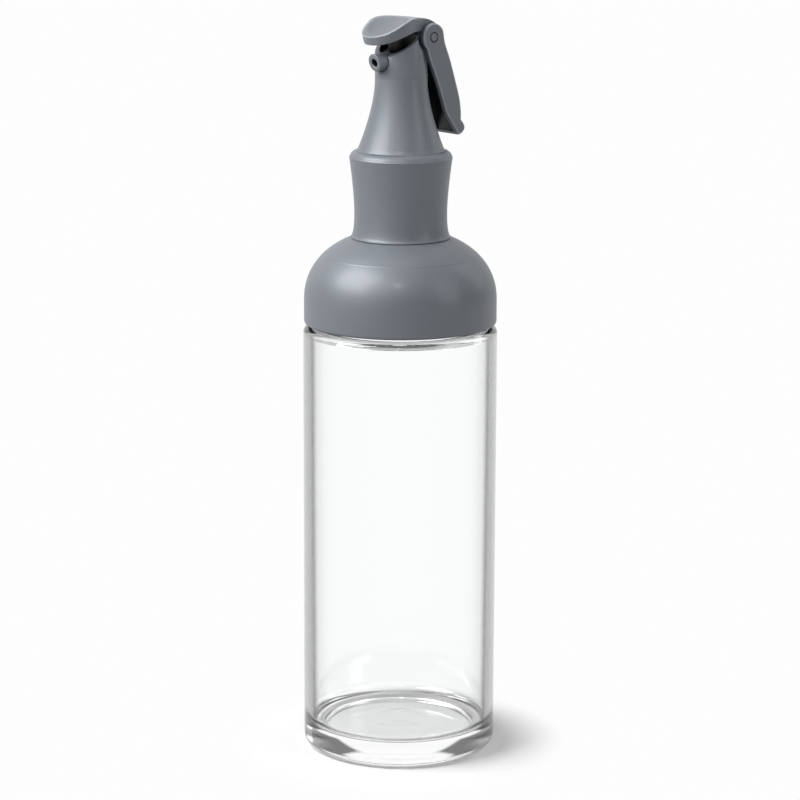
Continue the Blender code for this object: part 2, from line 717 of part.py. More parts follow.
def make_spout_insert():
    bottom = WELL_FLOOR + GAP
    insert = plan_solid("spout_insert", well_outline(GAP, 28), bottom, NECK_TOP)
    front = -INSERT_RADIUS - OVERCUT
    back = 2.0 * WELL_BACK
    high = NECK_TOP + NECK_RADIUS
    deck = [(front, deck_height(front)), (back, deck_height(back)), (back, high), (front, high)]
    cut(insert, side_solid("deck_cutter", deck, -2.0 * NECK_RADIUS, 2.0 * NECK_RADIUS))
    join(insert, make_nozzle_barrel())
    boss_radius = VENT_TUBE_RADIUS + GAP + VENT_BOSS_WALL
    boss_foot = bottom - VENT_SOCKET_DEPTH - VENT_BOSS_WALL
    join(insert, rod("vent_boss", (VENT_SIDE, VALVE_Y, boss_foot), (VENT_SIDE, VALVE_Y, bottom + OVERCUT),
                     boss_radius))
    cut(insert, rod("vent_socket", (VENT_SIDE, VALVE_Y, boss_foot - OVERCUT),
                    (VENT_SIDE, VALVE_Y, boss_foot + VENT_SOCKET_DEPTH), VENT_TUBE_RADIUS + GAP))
    cut(insert, rod("vent_hole", (VENT_SIDE, VALVE_Y, boss_foot), (VENT_SIDE, VALVE_Y, NECK_TOP),
                    VENT_RADIUS, 12))
    cut(insert, rod("valve_hole", (VALVE_SIDE, VALVE_Y, boss_foot - OVERCUT),
                    (VALVE_SIDE, VALVE_Y, NECK_TOP), VALVE_RADIUS))
    trough = NOZZLE_REACH - NOZZLE_ROOT + NOZZLE_OVERLAP
    cut(insert, rod("nozzle_bore", nozzle_point(-2.0 * OVERCUT), nozzle_point(trough), NOZZLE_BORE))
    grey_plastic(insert)
    return insert


def make_vent_tube():
    bottom = WELL_FLOOR + GAP
    top = bottom - VENT_BOSS_WALL - GAP
    foot = top - VENT_TUBE_LENGTH
    tube = rod("vent_tube", (VENT_SIDE, VALVE_Y, foot), (VENT_SIDE, VALVE_Y, top), VENT_TUBE_RADIUS, 16)
    cut(tube, rod("tube_bore", (VENT_SIDE, VALVE_Y, foot - OVERCUT), (VENT_SIDE, VALVE_Y, top + OVERCUT),
                  VENT_TUBE_BORE, 12))
    add_material(tube, (0.70, 0.71, 0.72), 0.4)
    return tube


def stopper_axis_point(distance):
    """A point on the stopper's leaning axis, a distance up from the deck."""
    foot = Vector((0.0, VALVE_Y, deck_height(VALVE_Y)))
    return foot + Vector((0.0, -sin(STOPPER_LEAN), cos(STOPPER_LEAN))) * distance


def stopper_length():
    """From the deck to the stopper's top, which stands in the lid."""
    under = lid_under_curve()
    length = 0.0
    while stopper_axis_point(length).z < height_on(under, stopper_axis_point(length).y):
        length += STOPPER_STEP
    return length + STOPPER_SEAT


def make_lid_stopper():
    stopper = rod("lid_stopper", stopper_axis_point(-STOPPER_BLANK), stopper_axis_point(stopper_length()),
                  STOPPER_RADIUS)
    reach = 4.0 * STOPPER_RADIUS
    low = NECK_TOP - 2.0 * WELL_DEPTH
    front = VALVE_Y - reach
    back = VALVE_Y + reach
    under = [(front, low), (back, low), (back, deck_height(back) + GAP), (front, deck_height(front) + GAP)]
    cut(stopper, side_solid("stopper_cutter", under, -reach, reach))
    add_material(stopper, (0.012, 0.012, 0.013), 0.5)
    return stopper


# Lid

def lid_curve(offsets):
    """A smooth curve in front of the pin, from shares of the lid's span and of the hood's radius."""
    return [(PIN_Y - y * LID_SPAN, PIN_Z + z * HOOD_RADIUS) for y, z in through(offsets, 3)]


def lid_top_curve():
    """Top from the hinge to the tip: nearly level, then bent down to the thumb dish."""
    return lid_curve([(0.089, 1.029), (0.17, 1.058), (0.27, 1.098), (0.39, 1.117), (0.50, 1.058),
                      (0.61, 0.891), (0.74, 0.606), (0.865, 0.330), (1.0, 0.098)])


def lid_under_curve():
    """Underside from the neck's top to the tip, parallel to the top in front of the mouth."""
    level = (UNDERSIDE - PIN_Z) / HOOD_RADIUS
    return lid_curve([(0.26, level), (0.36, level), (0.48, 0.281), (0.595, 0.148), (0.72, -0.039),
                      (0.865, -0.246), (1.0, -0.394)])


def height_on(curve, y):
    """Height of a curve of (Y, Z) points at y."""
    for (start_y, start_z), (end_y, end_z) in zip(curve, curve[1:]):
        if end_y <= y <= start_y:
            return start_z + (end_z - start_z) * (y - start_y) / (end_y - start_y)
    return curve[0][1]


def hood_radius(angle):
    """Outer radius of the hood over the pin, which falls towards its back."""
    share = (angle - HOOD_BACK) / (HOOD_FRONT - HOOD_BACK)
    return flare(HOOD_BACK_RADIUS, HOOD_RADIUS - HOOD_BACK_RADIUS, share, HOOD_POWER)


def lid_side():
    top = list(reversed(lid_top_curve()))
    top += [around_pin(hood_radius(angle), angle) for angle in spaced(HOOD_FRONT, HOOD_BACK, 7)]
    meeting = pi - asin((UNDERSIDE - PIN_Z) / HOOD_BORE)
    under = [around_pin(HOOD_BORE, angle) for angle in spaced(HOOD_BACK, meeting, 8)]
    return top + under + lid_under_curve()


def lid_plan(inset):
    """Plan outline: a round spoon, drawn in by an inset, that narrows to the tongue."""
    wide = LID_HALF_WIDTH - inset
    long = LID_TIP - LID_WIDEST - inset
    nose = [(wide * x, -LID_WIDEST + long * y) for x, y in arc((0.0, 0.0), 1.0, 180.0, 360.0, 22)]
    right = []
    for share in spaced(0.125, 1.0, 7):
        half = TONGUE_HALF_WIDTH + (wide - TONGUE_HALF_WIDTH) * (0.5 + 0.5 * cos(pi * share))
        right.append((half, -LID_WIDEST + (TONGUE_START + LID_WIDEST) * share))
    right.append((TONGUE_HALF_WIDTH, PIN_Y + 2.0 * HOOD_RADIUS))
    left = [(-x, y) for x, y in reversed(right)]
    return nose + right + left


def lid_blank():
    """The lid's plan outline between two levels, its wall leaning in towards the lower one."""
    low = NECK_TOP - LID_BLANK_DEPTH
    high = NECK_TOP + LID_BLANK_DEPTH
    lean = LID_DRAFT * 2.0 * LID_BLANK_DEPTH / LID_WALL_HEIGHT
    shape = bmesh.new()
    rings = []
    for height, inset in ((low, lean / 2.0), (high, -lean / 2.0)):
        rings.append([shape.verts.new((x, y, height)) for x, y in lid_plan(inset)])
    for index in range(len(rings[0])):
        following = (index + 1) % len(rings[0])
        shape.faces.new((rings[0][index], rings[0][following], rings[1][following], rings[1][index]))
    shape.faces.new(list(reversed(rings[0])))
    shape.faces.new(rings[1])
    bmesh.ops.recalc_face_normals(shape, faces=shape.faces)
    mesh = bpy.data.meshes.new("pour_lid")
    shape.to_mesh(mesh)
    shape.free()
    return add_object("pour_lid", mesh)


def cheek_outline():
    """A cheek of the lid, cut away in front and below for the lever's peg."""
    rim = [around_pin(CHEEK_RADIUS, radians(angle)) for angle in spaced(180.0, -90.0, 17)]
    hub = [around_pin(CHEEK_HUB, radians(angle)) for angle in spaced(-90.0, -180.0, 6)]
    return rim + hub


def dish_cutter():
    """A flattened ball that hollows the thumb dish."""
    middle = -DISH_MIDDLE
    top = lid_top_curve()
    front_height = height_on(top, middle - DISH_LENGTH / 3.0)
    back_height = height_on(top, middle + DISH_LENGTH / 3.0)
    slope = atan2(back_height - front_height, DISH_LENGTH * 2.0 / 3.0)
    height = DISH_DEPTH * 2.2
    rise = height - DISH_DEPTH
    widen = 1.0 / sqrt(1.0 - (rise / height) ** 2)
    shape = bmesh.new()
    place = Matrix.Translation((0.0, middle, (front_height + back_height) / 2.0))
    turn = Matrix.Rotation(slope, 4, "X") @ Matrix.Translation((0.0, 0.0, rise))
    size = Matrix.Diagonal((DISH_WIDTH / 2.0 * widen, DISH_LENGTH / 2.0 * widen, height, 1.0))
    bmesh.ops.create_uvsphere(shape, u_segments=28, v_segments=16, radius=1.0,
                              matrix=place @ turn @ size)
    mesh = bpy.data.meshes.new("dish_cutter")
    shape.to_mesh(mesh)
    shape.free()
    return add_object("dish_cutter", mesh)


def make_pour_lid():
    lid = lid_blank()
    keep_inside(lid, side_solid("lid_side", lid_side(), -2.0 * LID_HALF_WIDTH, 2.0 * LID_HALF_WIDTH))
    round_edges(lid, LID_EDGE_ROUND, 2, 50.0)
    cut(lid, dish_cutter())
    cut(lid, rod("stopper_socket", stopper_axis_point(0.0), stopper_axis_point(stopper_length() + GAP),
                 STOPPER_RADIUS + GAP))
    wide = 2.0 * LID_HALF_WIDTH
    for side in (-1.0, 1.0):
        near = side * (TONGUE_HALF_WIDTH - SINK)
        cut(lid, rod("ear_room", (near, PIN_Y, PIN_Z), (side * wide, PIN_Y, PIN_Z),
                     EAR_RADIUS + HINGE_PLAY, 32))
    outer = TONGUE_HALF_WIDTH - SINK / 2.0
    for side in (-1.0, 1.0):
        span = sorted((side * outer, side * (outer - CHEEK_THICKNESS)))
        join(lid, side_solid("cheek", cheek_outline(), *span))
    cut(lid, rod("lid_pin_hole", (-wide, PIN_Y, PIN_Z), (wide, PIN_Y, PIN_Z), PIN_RADIUS + GAP))
    grey_plastic(lid)
    return lid


# Lever

def lever_points(shares):
    """(Y, Z) points at offsets from the pin, which are shares of the lever's length."""
    return [(PIN_Y + y * LEVER_LENGTH, PIN_Z + z * LEVER_LENGTH) for y, z in shares]


def lever_back():
    """The back edge, from the ears down to above the thumb lip."""
    return lever_points(through([(0.126, 0.053), (0.151, -0.070), (0.214, -0.224), (0.282, -0.426),
                                 (0.343, -0.622), (0.364, -0.753), (0.364, -0.840)], 3))


def lever_lip():
    """The thumb lip at the lever's lower end."""
    return lever_points(through([(0.364, -0.840), (0.407, -0.896), (0.415, -0.941), (0.380, -0.982),
                                 (0.330, -1.0)], 2))[1:]


def lever_front():
    """The front edge, from the lower end up to the ears."""
    return lever_points(through([(0.330, -1.0), (0.284, -0.930), (0.232, -0.854), (0.171, -0.759),
                                 (0.125, -0.636), (0.067, -0.479), (0.001, -0.328), (-0.059, -0.193),
                                 (-0.081, -0.112)], 2))[1:]


def lever_outline():
    ear = [around_pin(EAR_RADIUS, radians(angle)) for angle in spaced(222.0, 24.0, 14)]
    return ear + lever_back()[1:] + lever_lip() + lever_front()[:-1]


def channel_outline():
    """The hollow between the lever's side walls, open to the front and the top."""
    back = [(y - LEVER_WALL, z) for y, z in lever_back()]
    bottom = PIN_Z - LEVER_LENGTH + LEVER_FLOOR
    front = PIN_Y - 2.0 * NECK_RADIUS
    high = PIN_Z + 2.0 * NECK_RADIUS
    return ([(front, high), (back[0][0], high)] + back
            + [(back[-1][0] + LEVER_FLOOR / 2.0, bottom), (front, bottom)])


def make_squeeze_lever():
    lever = side_solid("squeeze_lever", lever_outline(), -EAR_HALF_SPAN, EAR_HALF_SPAN)
    round_edges(lever, LEVER_EDGE_ROUND, 2, 60.0)
    cut(lever, side_solid("channel_cutter", channel_outline(), -EAR_INNER, EAR_INNER))
    top = asin(lever_back()[0][1] / EAR_RADIUS - PIN_Z / EAR_RADIUS)
    hood_room = hood_radius(top + LID_TRAVEL) + HINGE_PLAY
    inside = EAR_INNER - SINK / 2.0
    cut(lever, rod("hood_cutter", (-inside, PIN_Y, PIN_Z), (inside, PIN_Y, PIN_Z), hood_room, 32))
    y, z = around_pin(PEG_REACH, PEG_ANGLE)
    for side in (-1.0, 1.0):
        join(lever, rod("peg", (side * (EAR_INNER - PEG_LENGTH), y, z),
                        (side * (EAR_INNER + EAR_THICKNESS / 2.0), y, z), PEG_RADIUS, 12))
    wide = 2.0 * EAR_HALF_SPAN
    cut(lever, rod("ear_hole", (-wide, PIN_Y, PIN_Z), (wide, PIN_Y, PIN_Z), PIN_RADIUS + PIN_PLAY))
    grey_plastic(lever)
    return lever


def make_hinge_pin():
    half = EAR_HALF_SPAN + PIN_PROUD
    pin = rod("hinge_pin", (-half, PIN_Y, PIN_Z), (half, PIN_Y, PIN_Z), PIN_RADIUS)
    round_edges(pin, PIN_EDGE_ROUND, 2, 60.0)
    add_material(pin, (0.125, 0.140, 0.160), 0.4)
    return pin


# Torsion spring round the pin

def spring_route():
    """Points along the wire: a leg up to the coil, the turns, and a leg back to the hood."""
    half = COIL_TURNS * COIL_PITCH / 2.0
    steps = round(COIL_TURNS * COIL_POINTS)
    coil = []
    for step in range(steps + 1):
        share = step / steps
        y, z = around_pin(COIL_RADIUS, pi - 2.0 * pi * COIL_TURNS * share)
        coil.append(Vector((-half + 2.0 * half * share, y, z)))
    leg = SPRING_SLOT_DEPTH - WIRE_RADIUS - GAP
    first = [coil[0] + Vector((0.0, 0.0, -leg)), coil[0] + Vector((0.0, 0.0, -leg / 2.0))]
    reach = HOOD_BORE - WIRE_RADIUS - GAP
    along = sqrt(reach ** 2 - COIL_RADIUS ** 2)
    last = [coil[-1] + Vector((0.0, along / 2.0, 0.0)), coil[-1] + Vector((0.0, along, 0.0))]
    return first + coil + last


def least_gap(points, skip):
    """Least clear distance between the wire's turns."""
    least = 1.0
    for index, point in enumerate(points):
        for other in points[index + skip:]:
            least = min(least, (point - other).length)
    return least - 2.0 * WIRE_RADIUS


def make_torsion_spring():
    route = spring_route()
    curve = bpy.data.curves.new("torsion_spring", "CURVE")
    curve.dimensions = "3D"
    curve.bevel_depth = WIRE_RADIUS
    curve.bevel_resolution = 1
    curve.use_fill_caps = True
    spline = curve.splines.new("POLY")
    spline.points.add(len(route) - 1)
    for point, place in zip(spline.points, route):
        point.co = (*place, 1.0)
    spring = bpy.data.objects.new("torsion_spring", curve)
    PARTS.objects.link(spring)
    add_material(spring, (0.60, 0.60, 0.62), 0.3)
    print("torsion_spring least gap to itself, mm:", round(1000.0 * least_gap(route, 6), 2))
    return spring


# Assembly

def hang_on(axis_name, items):
    """Parent moving pieces to an empty on the hinge's axis, where they are."""
    empty = bpy.data.objects.new(axis_name, None)
    empty.location = PIN
    PARTS.objects.link(empty)
    bpy.context.view_layer.update()
    for item in items:
        item.parent = empty
        item.matrix_parent_inverse = empty.matrix_world.inverted()
    return empty


make_glass_bottle()
make_bottle_gasket()
make_dome_cap()
make_cap_liner()
make_chimney_seal()
make_neck_collar()
make_pour_neck()
make_spout_insert()
make_vent_tube()
make_hinge_pin()
make_torsion_spring()
hang_on("lever_axis", [make_squeeze_lever()])
hang_on("lid_axis", [make_pour_lid(), make_lid_stopper()])
for piece in PARTS.objects:
    if piece.type == "MESH":
        smooth(piece)
bpy.context.view_layer.update()
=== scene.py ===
# Dressing, light and camera for the oil dispenser bottle.
import math

import bpy
from mathutils import Matrix, Vector
from mathutils.kdtree import KDTree


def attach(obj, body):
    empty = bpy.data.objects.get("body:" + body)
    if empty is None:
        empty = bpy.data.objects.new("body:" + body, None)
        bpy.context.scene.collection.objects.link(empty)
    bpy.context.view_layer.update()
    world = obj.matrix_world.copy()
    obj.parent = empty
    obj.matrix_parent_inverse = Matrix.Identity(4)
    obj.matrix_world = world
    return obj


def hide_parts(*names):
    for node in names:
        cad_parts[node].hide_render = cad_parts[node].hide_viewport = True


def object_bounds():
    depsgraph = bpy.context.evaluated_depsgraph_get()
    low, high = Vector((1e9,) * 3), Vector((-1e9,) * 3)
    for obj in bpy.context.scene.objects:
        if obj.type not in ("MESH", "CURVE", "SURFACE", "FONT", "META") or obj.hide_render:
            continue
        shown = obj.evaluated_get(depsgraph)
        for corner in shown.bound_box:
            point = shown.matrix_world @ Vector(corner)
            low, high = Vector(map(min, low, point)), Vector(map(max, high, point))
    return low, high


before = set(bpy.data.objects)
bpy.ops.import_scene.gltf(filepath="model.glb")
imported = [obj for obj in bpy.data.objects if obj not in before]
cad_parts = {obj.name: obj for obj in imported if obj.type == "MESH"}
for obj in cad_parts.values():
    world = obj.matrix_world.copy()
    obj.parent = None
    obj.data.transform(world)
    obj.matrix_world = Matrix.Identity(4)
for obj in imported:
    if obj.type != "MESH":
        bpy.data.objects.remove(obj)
cadLow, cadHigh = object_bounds()
print("frame loaded")

mm = 0.001
weld = 0.002 * mm        # points nearer than this become one


def deselectAll():
    if bpy.context.mode != "OBJECT":
        bpy.ops.object.mode_set(mode="OBJECT")
    for item in bpy.context.selected_objects:
        item.select_set(False)


def makeActive(piece):
    deselectAll()
    piece.select_set(True)
    bpy.context.view_layer.objects.active = piece


def shadeSmooth(piece, angle=35):
    makeActive(piece)
    bpy.ops.object.shade_smooth_by_angle(angle=math.radians(angle))


def startPoint(name, place):
    # a single vertex to draw an outline from
    deselectAll()
    bpy.ops.mesh.primitive_plane_add(size=mm, location=(0, 0, 0))
    piece = bpy.context.active_object
    piece.name = name
    piece.data.name = name
    bpy.ops.object.mode_set(mode="EDIT")
    bpy.ops.mesh.select_all(action="SELECT")
    bpy.ops.mesh.merge(type="CENTER")
    bpy.ops.transform.translate(value=place)
    return piece


def drawTo(points):
    # extrudes the selected vertex along a list of places, and selects the line
    for here, there in zip(points, points[1:]):
        step = Vector(there) - Vector(here)
        bpy.ops.mesh.extrude_region_move(TRANSFORM_OT_translate={"value": step})
    bpy.ops.mesh.select_all(action="SELECT")


def finishMesh(piece, smoothAngle=35):
    bpy.ops.mesh.select_all(action="SELECT")
    bpy.ops.mesh.remove_doubles(threshold=weld)
    bpy.ops.mesh.normals_make_consistent(inside=False)
    shadeSmooth(piece, smoothAngle)


def turnedPiece(name, outline, steps=144, smoothAngle=35):
    # an outline of (radius, height) points spun round Z
    points = [(radius, 0, height) for radius, height in outline]
    if outline[0][0] > 0:
        points.append(points[0])
    piece = startPoint(name, points[0])
    drawTo(points)
    bpy.ops.mesh.spin(steps=steps, angle=2 * math.pi, center=(0, 0, 0), axis=(0, 0, 1))
    finishMesh(piece, smoothAngle)
    return piece


def filledPiece(name, points, way):
    piece = startPoint(name, points[0])
    drawTo(points)
    bpy.ops.mesh.edge_face_add()
    bpy.ops.mesh.extrude_region_move(TRANSFORM_OT_translate={"value": way})
    finishMesh(piece)
    return piece


def slabPiece(name, outline, low, high):
    # a side outline of (y, z) points, filled and extruded from x = low to x = high
    return filledPiece(name, [(low, y, z) for y, z in outline], (high - low, 0, 0))


def planPiece(name, outline, low, high):
    # a plan outline of (x, y) points, filled and extruded from z = low to z = high
    return filledPiece(name, [(x, y, low) for x, y in outline], (0, 0, high - low))


def rodPiece(name, start, end, radius, sides=64):
    start = Vector(start)
    axis = Vector(end) - start
    deselectAll()
    bpy.ops.mesh.primitive_cylinder_add(
        vertices=sides, radius=radius, depth=axis.length, location=start + axis / 2,
        rotation=axis.to_track_quat("Z", "Y").to_euler())
    piece = bpy.context.active_object
    piece.name = name
    bpy.ops.object.transform_apply(location=True, rotation=True, scale=True)
    return piece


def blockPiece(name, low, high):
    low = Vector(low)
    high = Vector(high)
    deselectAll()
    bpy.ops.mesh.primitive_cube_add(size=1, location=(low + high) / 2)
    piece = bpy.context.active_object
    piece.name = name
    piece.scale = high - low
    bpy.ops.object.transform_apply(location=True, rotation=True, scale=True)
    return piece


def applyStep(piece, kind, **settings):
    # adds one modifier and applies it at once
    makeActive(piece)
    step = piece.modifiers.new("step", kind)
    for key, value in settings.items():
        setattr(step, key, value)
    bpy.ops.object.modifier_apply(modifier="step")


def shapeWith(piece, tool, operation="DIFFERENCE"):
    # cuts, joins or crosses a piece with another one, and throws the tool away
    applyStep(piece, "BOOLEAN", operation=operation, solver="EXACT", object=tool)
    bpy.data.objects.remove(tool, do_unlink=True)


def easeAll(piece, size):
    # rounds every edge of a cut form: evened out, smoothed and thinned again
    applyStep(piece, "REMESH", mode="VOXEL", voxel_size=size["cell"])
    applyStep(piece, "SMOOTH", factor=0.5, iterations=size["passes"])
    applyStep(piece, "DECIMATE", ratio=size["kept"])
    for vertex in piece.data.vertices:
        vertex.co.z = min(vertex.co.z, cadHigh[2])


def softenEdges(piece, width, segments, angle):
    applyStep(piece, "BEVEL", width=width, segments=segments, limit_method="ANGLE",
              angle_limit=math.radians(angle), use_clamp_overlap=True)


def dress(piece, material):
    piece.data.materials.clear()
    piece.data.materials.append(material)


def seat(piece, material, node, body):
    dress(piece, material)
    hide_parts(node)
    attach(piece, body)


def evenly(start, end, steps):
    return [start + (end - start) * i / steps for i in range(steps + 1)]


def around(centre, radius, angle):
    angle = math.radians(angle)
    return centre[0] + radius * math.cos(angle), centre[1] + radius * math.sin(angle)


def bow(centre, radius, start, end, steps):
    # points on an arc, angles in degrees
    return [around(centre, radius, angle) for angle in evenly(start, end, steps)]


def corner(x, z, turn, way, start, end, steps=6):
    # the round that stands in for a sharp corner, its centre on the given side of it
    return bow((x + way[0] * turn, z + way[1] * turn), turn, start, end, steps)


def throughPoints(points, steps):
    # a smooth curve through a few points
    ends = [points[0], *points, points[-1]]
    curve = []
    for index in range(len(points) - 1):
        before, start, end, after = ends[index:index + 4]
        for step in range(steps):
            t = step / steps
            curve.append(tuple(
                0.5 * (2 * b + (c - a) * t + (2 * a - 5 * b + 4 * c - d) * t ** 2
                       + (3 * b - a - 3 * c + d) * t ** 3)
                for a, b, c, d in zip(before, start, end, after)))
    curve.append(points[-1])
    return curve


# sizes shared by the pieces, the same as in the solids
stack = {
    "shoulder": 156.3 * mm,
    "lip": 169.3 * mm,
    "domeEdge": 157.7 * mm,
    "domeCentre": 166.0 * mm,
    "domeTop": 188.767 * mm,
    "collarFoot": 189.067 * mm,
    "collarTop": 220.067 * mm,
    "neckFoot": 220.367 * mm,
    "neckTop": 261.967 * mm,
    "joint": 0.04 * mm,      # what is seen of the gap between two stacked pieces
    "pinY": 9.44 * mm,
    "pinZ": 260.127 * mm,
}


def byPin(x, y, z):
    # a place told from the middle of the pin
    return x, stack["pinY"] + y, stack["pinZ"] + z


def pinRod(name, start, end, radius, sides=64):
    # along the pin's own line, from x = start to x = end
    return rodPiece(name, byPin(start, 0, 0), byPin(end, 0, 0), radius, sides)


def roundPin(radius, angle):
    # (y, z) at a distance and an angle in degrees from the pin, 0 to the back, 90 up
    return around((stack["pinY"], stack["pinZ"]), radius, angle)


def pinBow(radius, start, end, steps):
    return [roundPin(radius, angle) for angle in evenly(start, end, steps)]


def feed(tree, node, inputs):
    # a socket takes a number, a colour or another node's output
    for key, source in inputs.items():
        if isinstance(source, bpy.types.NodeSocket):
            tree.links.new(source, node.inputs[key])
        else:
            node.inputs[key].default_value = source


def addNode(tree, kind, inputs=None, **settings):
    node = tree.nodes.new("ShaderNode" + kind)
    for key, value in settings.items():
        setattr(node, key, value)
    feed(tree, node, inputs or {})
    return node


def calculate(tree, operation, *sources):
    return addNode(tree, "Math", dict(enumerate(sources)), operation=operation).outputs[0]


def easedStep(tree, value, fromLow, fromHigh, toLow=0.0, toHigh=1.0):
    # eases from toLow to toHigh while the value goes from fromLow to fromHigh
    reach = {"Value": value, "From Min": fromLow, "From Max": fromHigh, "To Min": toLow, "To Max": toHigh}
    return addNode(tree, "MapRange", reach, interpolation_type="SMOOTHSTEP").outputs["Result"]


def mixColours(tree, factor, first, second):
    mix = addNode(tree, "Mix", {"Factor": factor, "A": first, "B": second}, data_type="RGBA")
    return mix.outputs["Result"]


def shadeRamp(tree, fac, steps):
    ramp = addNode(tree, "ValToRGB", {"Fac": fac})
    stops = ramp.color_ramp.elements
    while len(stops) < len(steps):
        stops.new(0.5)
    for stop, (place, value) in zip(stops, steps):
        stop.position = place
        stop.color = (value, value, value, 1)
    return ramp.outputs["Color"]


def makeSatinGroup():
    # moulded plastic: fine grain, slow drift of shade, softer and rougher patches
    group = bpy.data.node_groups.new("satinGrain", "ShaderNodeTree")
    inputs = {"Color": (0.2, 0.2, 0.2, 1), "Drift": 0.06, "Grain Scale": 2600.0, "Roughness": 0.45,
              "Roughness Spread": 0.08}
    for way, labels in (("INPUT", inputs), ("OUTPUT", ("Color", "Roughness", "Height"))):
        for label in labels:
            kind = "NodeSocketColor" if label == "Color" else "NodeSocketFloat"
            socket = group.interface.new_socket(name=label, in_out=way, socket_type=kind)
            if way == "INPUT":
                socket.default_value = inputs[label]
    entry = group.nodes.new("NodeGroupInput")
    place = addNode(group, "TexCoord").outputs["Object"]
    drift = addNode(group, "TexNoise", {"Vector": place, "Scale": 38.0, "Detail": 3.0}).outputs["Fac"]
    grain = addNode(group, "TexNoise", {"Vector": place, "Scale": entry.outputs["Grain Scale"],
                                        "Detail": 2.0, "Roughness": 0.6}).outputs["Fac"]
    slow = calculate(group, "SUBTRACT", drift, 0.5)
    both = calculate(group, "ADD", slow, calculate(group, "SUBTRACT", grain, 0.5))
    shade = calculate(group, "MULTIPLY_ADD", both, entry.outputs["Drift"], 1.0)
    tint = addNode(group, "VectorMath", {0: entry.outputs["Color"], "Scale": shade}, operation="SCALE")
    rough = calculate(group, "MULTIPLY_ADD", slow, entry.outputs["Roughness Spread"],
                      entry.outputs["Roughness"])
    feed(group, group.nodes.new("NodeGroupOutput"), {
        "Color": tint.outputs["Vector"], "Roughness": rough, "Height": grain})
    return group


satinGroup = makeSatinGroup()


def makeMaterial(name):
    material = bpy.data.materials.new(name)
    material.use_nodes = True
    return material, material.node_tree, material.node_tree.nodes["Principled BSDF"]


def markPaintedShade(piece, inPaintedShade):
    # one number per face: 1 where it looks into a hollow, where the plastic gets painted shade
    marks = piece.data.attributes.new("hollow", "FLOAT", "FACE")
    for face in piece.data.polygons:
        marks.data[face.index].value = float(inPaintedShade(face.center, face.normal))


def markPaintedHighlight(piece, line, reach):
    # one number per point for a painted highlight: 1 on the line of a rounded edge, 0 a little way from it
    near = KDTree(len(line))
    for index, place in enumerate(line):
        near.insert(place, index)
    near.balance()
    marks = piece.data.attributes.new("paintedHighlight", "FLOAT", "POINT")
    for vertex in piece.data.vertices:
        marks.data[vertex.index].value = max(0.0, 1 - near.find(vertex.co)[2] / reach)


def paintShadeAndHighlight(tree, look, color):
    # painted shade in the marked hollows, and a painted highlight along the marked edges
    hollow = addNode(tree, "Attribute", attribute_name="hollow")
    paintedHighlight = addNode(tree, "Attribute", attribute_name="paintedHighlight")
    dark = addNode(tree, "MapRange", {
        "Value": hollow.outputs["Fac"], "To Min": 1.0, "To Max": look["hollow"]})
    light = easedStep(tree, paintedHighlight.outputs["Fac"], 0.0, 1.0, 1.0, look["paintedHighlight"])
    both = calculate(tree, "MULTIPLY", dark.outputs["Result"], light)
    toned = addNode(tree, "VectorMath", {0: color, "Scale": both}, operation="SCALE")
    return toned.outputs["Vector"]


def makePlastic(name, look):
    material, tree, shader = makeMaterial(name)
    satin = addNode(tree, "Group", {
        "Color": (*look["color"], 1), "Drift": look["drift"], "Grain Scale": look["grainScale"],
        "Roughness": look["roughness"], "Roughness Spread": look["spread"]}, node_tree=satinGroup)
    bump = addNode(tree, "Bump", {
        "Strength": look["bump"], "Distance": look["bumpDepth"], "Height": satin.outputs["Height"]})
    color = satin.outputs["Color"]
    # painted shade in hollows and painted highlights along rounded edges
    if "hollow" in look:
        color = paintShadeAndHighlight(tree, look, color)
    feed(tree, shader, {
        "Base Color": color, "Roughness": satin.outputs["Roughness"], "Normal": bump.outputs["Normal"],
        "Specular IOR Level": look["specular"], "Metallic": look["metallic"],
        "Coat Weight": look["coat"], "Coat Roughness": look["coatRoughness"]})
    return material


# what the moulded materials have in common, and what each has of its own
moulded = {"roughness": 0.5, "spread": 0.06, "bump": 0.2, "bumpDepth": 0.05 * mm, "specular": 0.4,
           "metallic": 0.0, "coat": 0.0, "coatRoughness": 0.22}
finish = {
    "greyPlastic": {"color": (0.143, 0.157, 0.177), "drift": 0.12, "grainScale": 2600.0,
                    "roughness": 0.52, "bump": 0.30, "bumpDepth": 0.06 * mm, "specular": 0.5,
                    "metallic": 0.25, "coat": 0.15,
                    "hollow": 0.12,     # how much of the colour is left under the painted shade in a hollow
                    "paintedHighlight": 2.1},      # and how much lighter the painted highlight makes it along a rounded edge
    "linerPlastic": {"color": (0.62, 0.64, 0.65), "drift": 0.04, "grainScale": 1800.0, "bump": 0.15},
    "gasketRubber": {"color": (0.66, 0.66, 0.64), "drift": 0.05, "grainScale": 1500.0,
                     "roughness": 0.62, "specular": 0.35},
    "blackRubber": {"color": (0.012, 0.012, 0.013), "drift": 0.10, "grainScale": 1600.0, "spread": 0.08},
}
plastics = {name: makePlastic(name, {**moulded, **look}) for name, look in finish.items()}
greyPlastic = plastics["greyPlastic"]

steelLook = {"color": (0.58, 0.58, 0.60), "grainScale": 4200.0, "roughness": (0.22, 0.38)}


def makeSteel(look):
    material, tree, shader = makeMaterial("springSteel")
    place = addNode(tree, "TexCoord").outputs["Object"]
    drawn = addNode(tree, "TexNoise", {"Vector": place, "Scale": look["grainScale"]}).outputs["Fac"]
    low, high = look["roughness"]
    rough = addNode(tree, "MapRange", {"Value": drawn, "To Min": low, "To Max": high}).outputs["Result"]
    feed(tree, shader, {"Base Color": (*look["color"], 1), "Roughness": rough, "Metallic": 1.0})
    return material


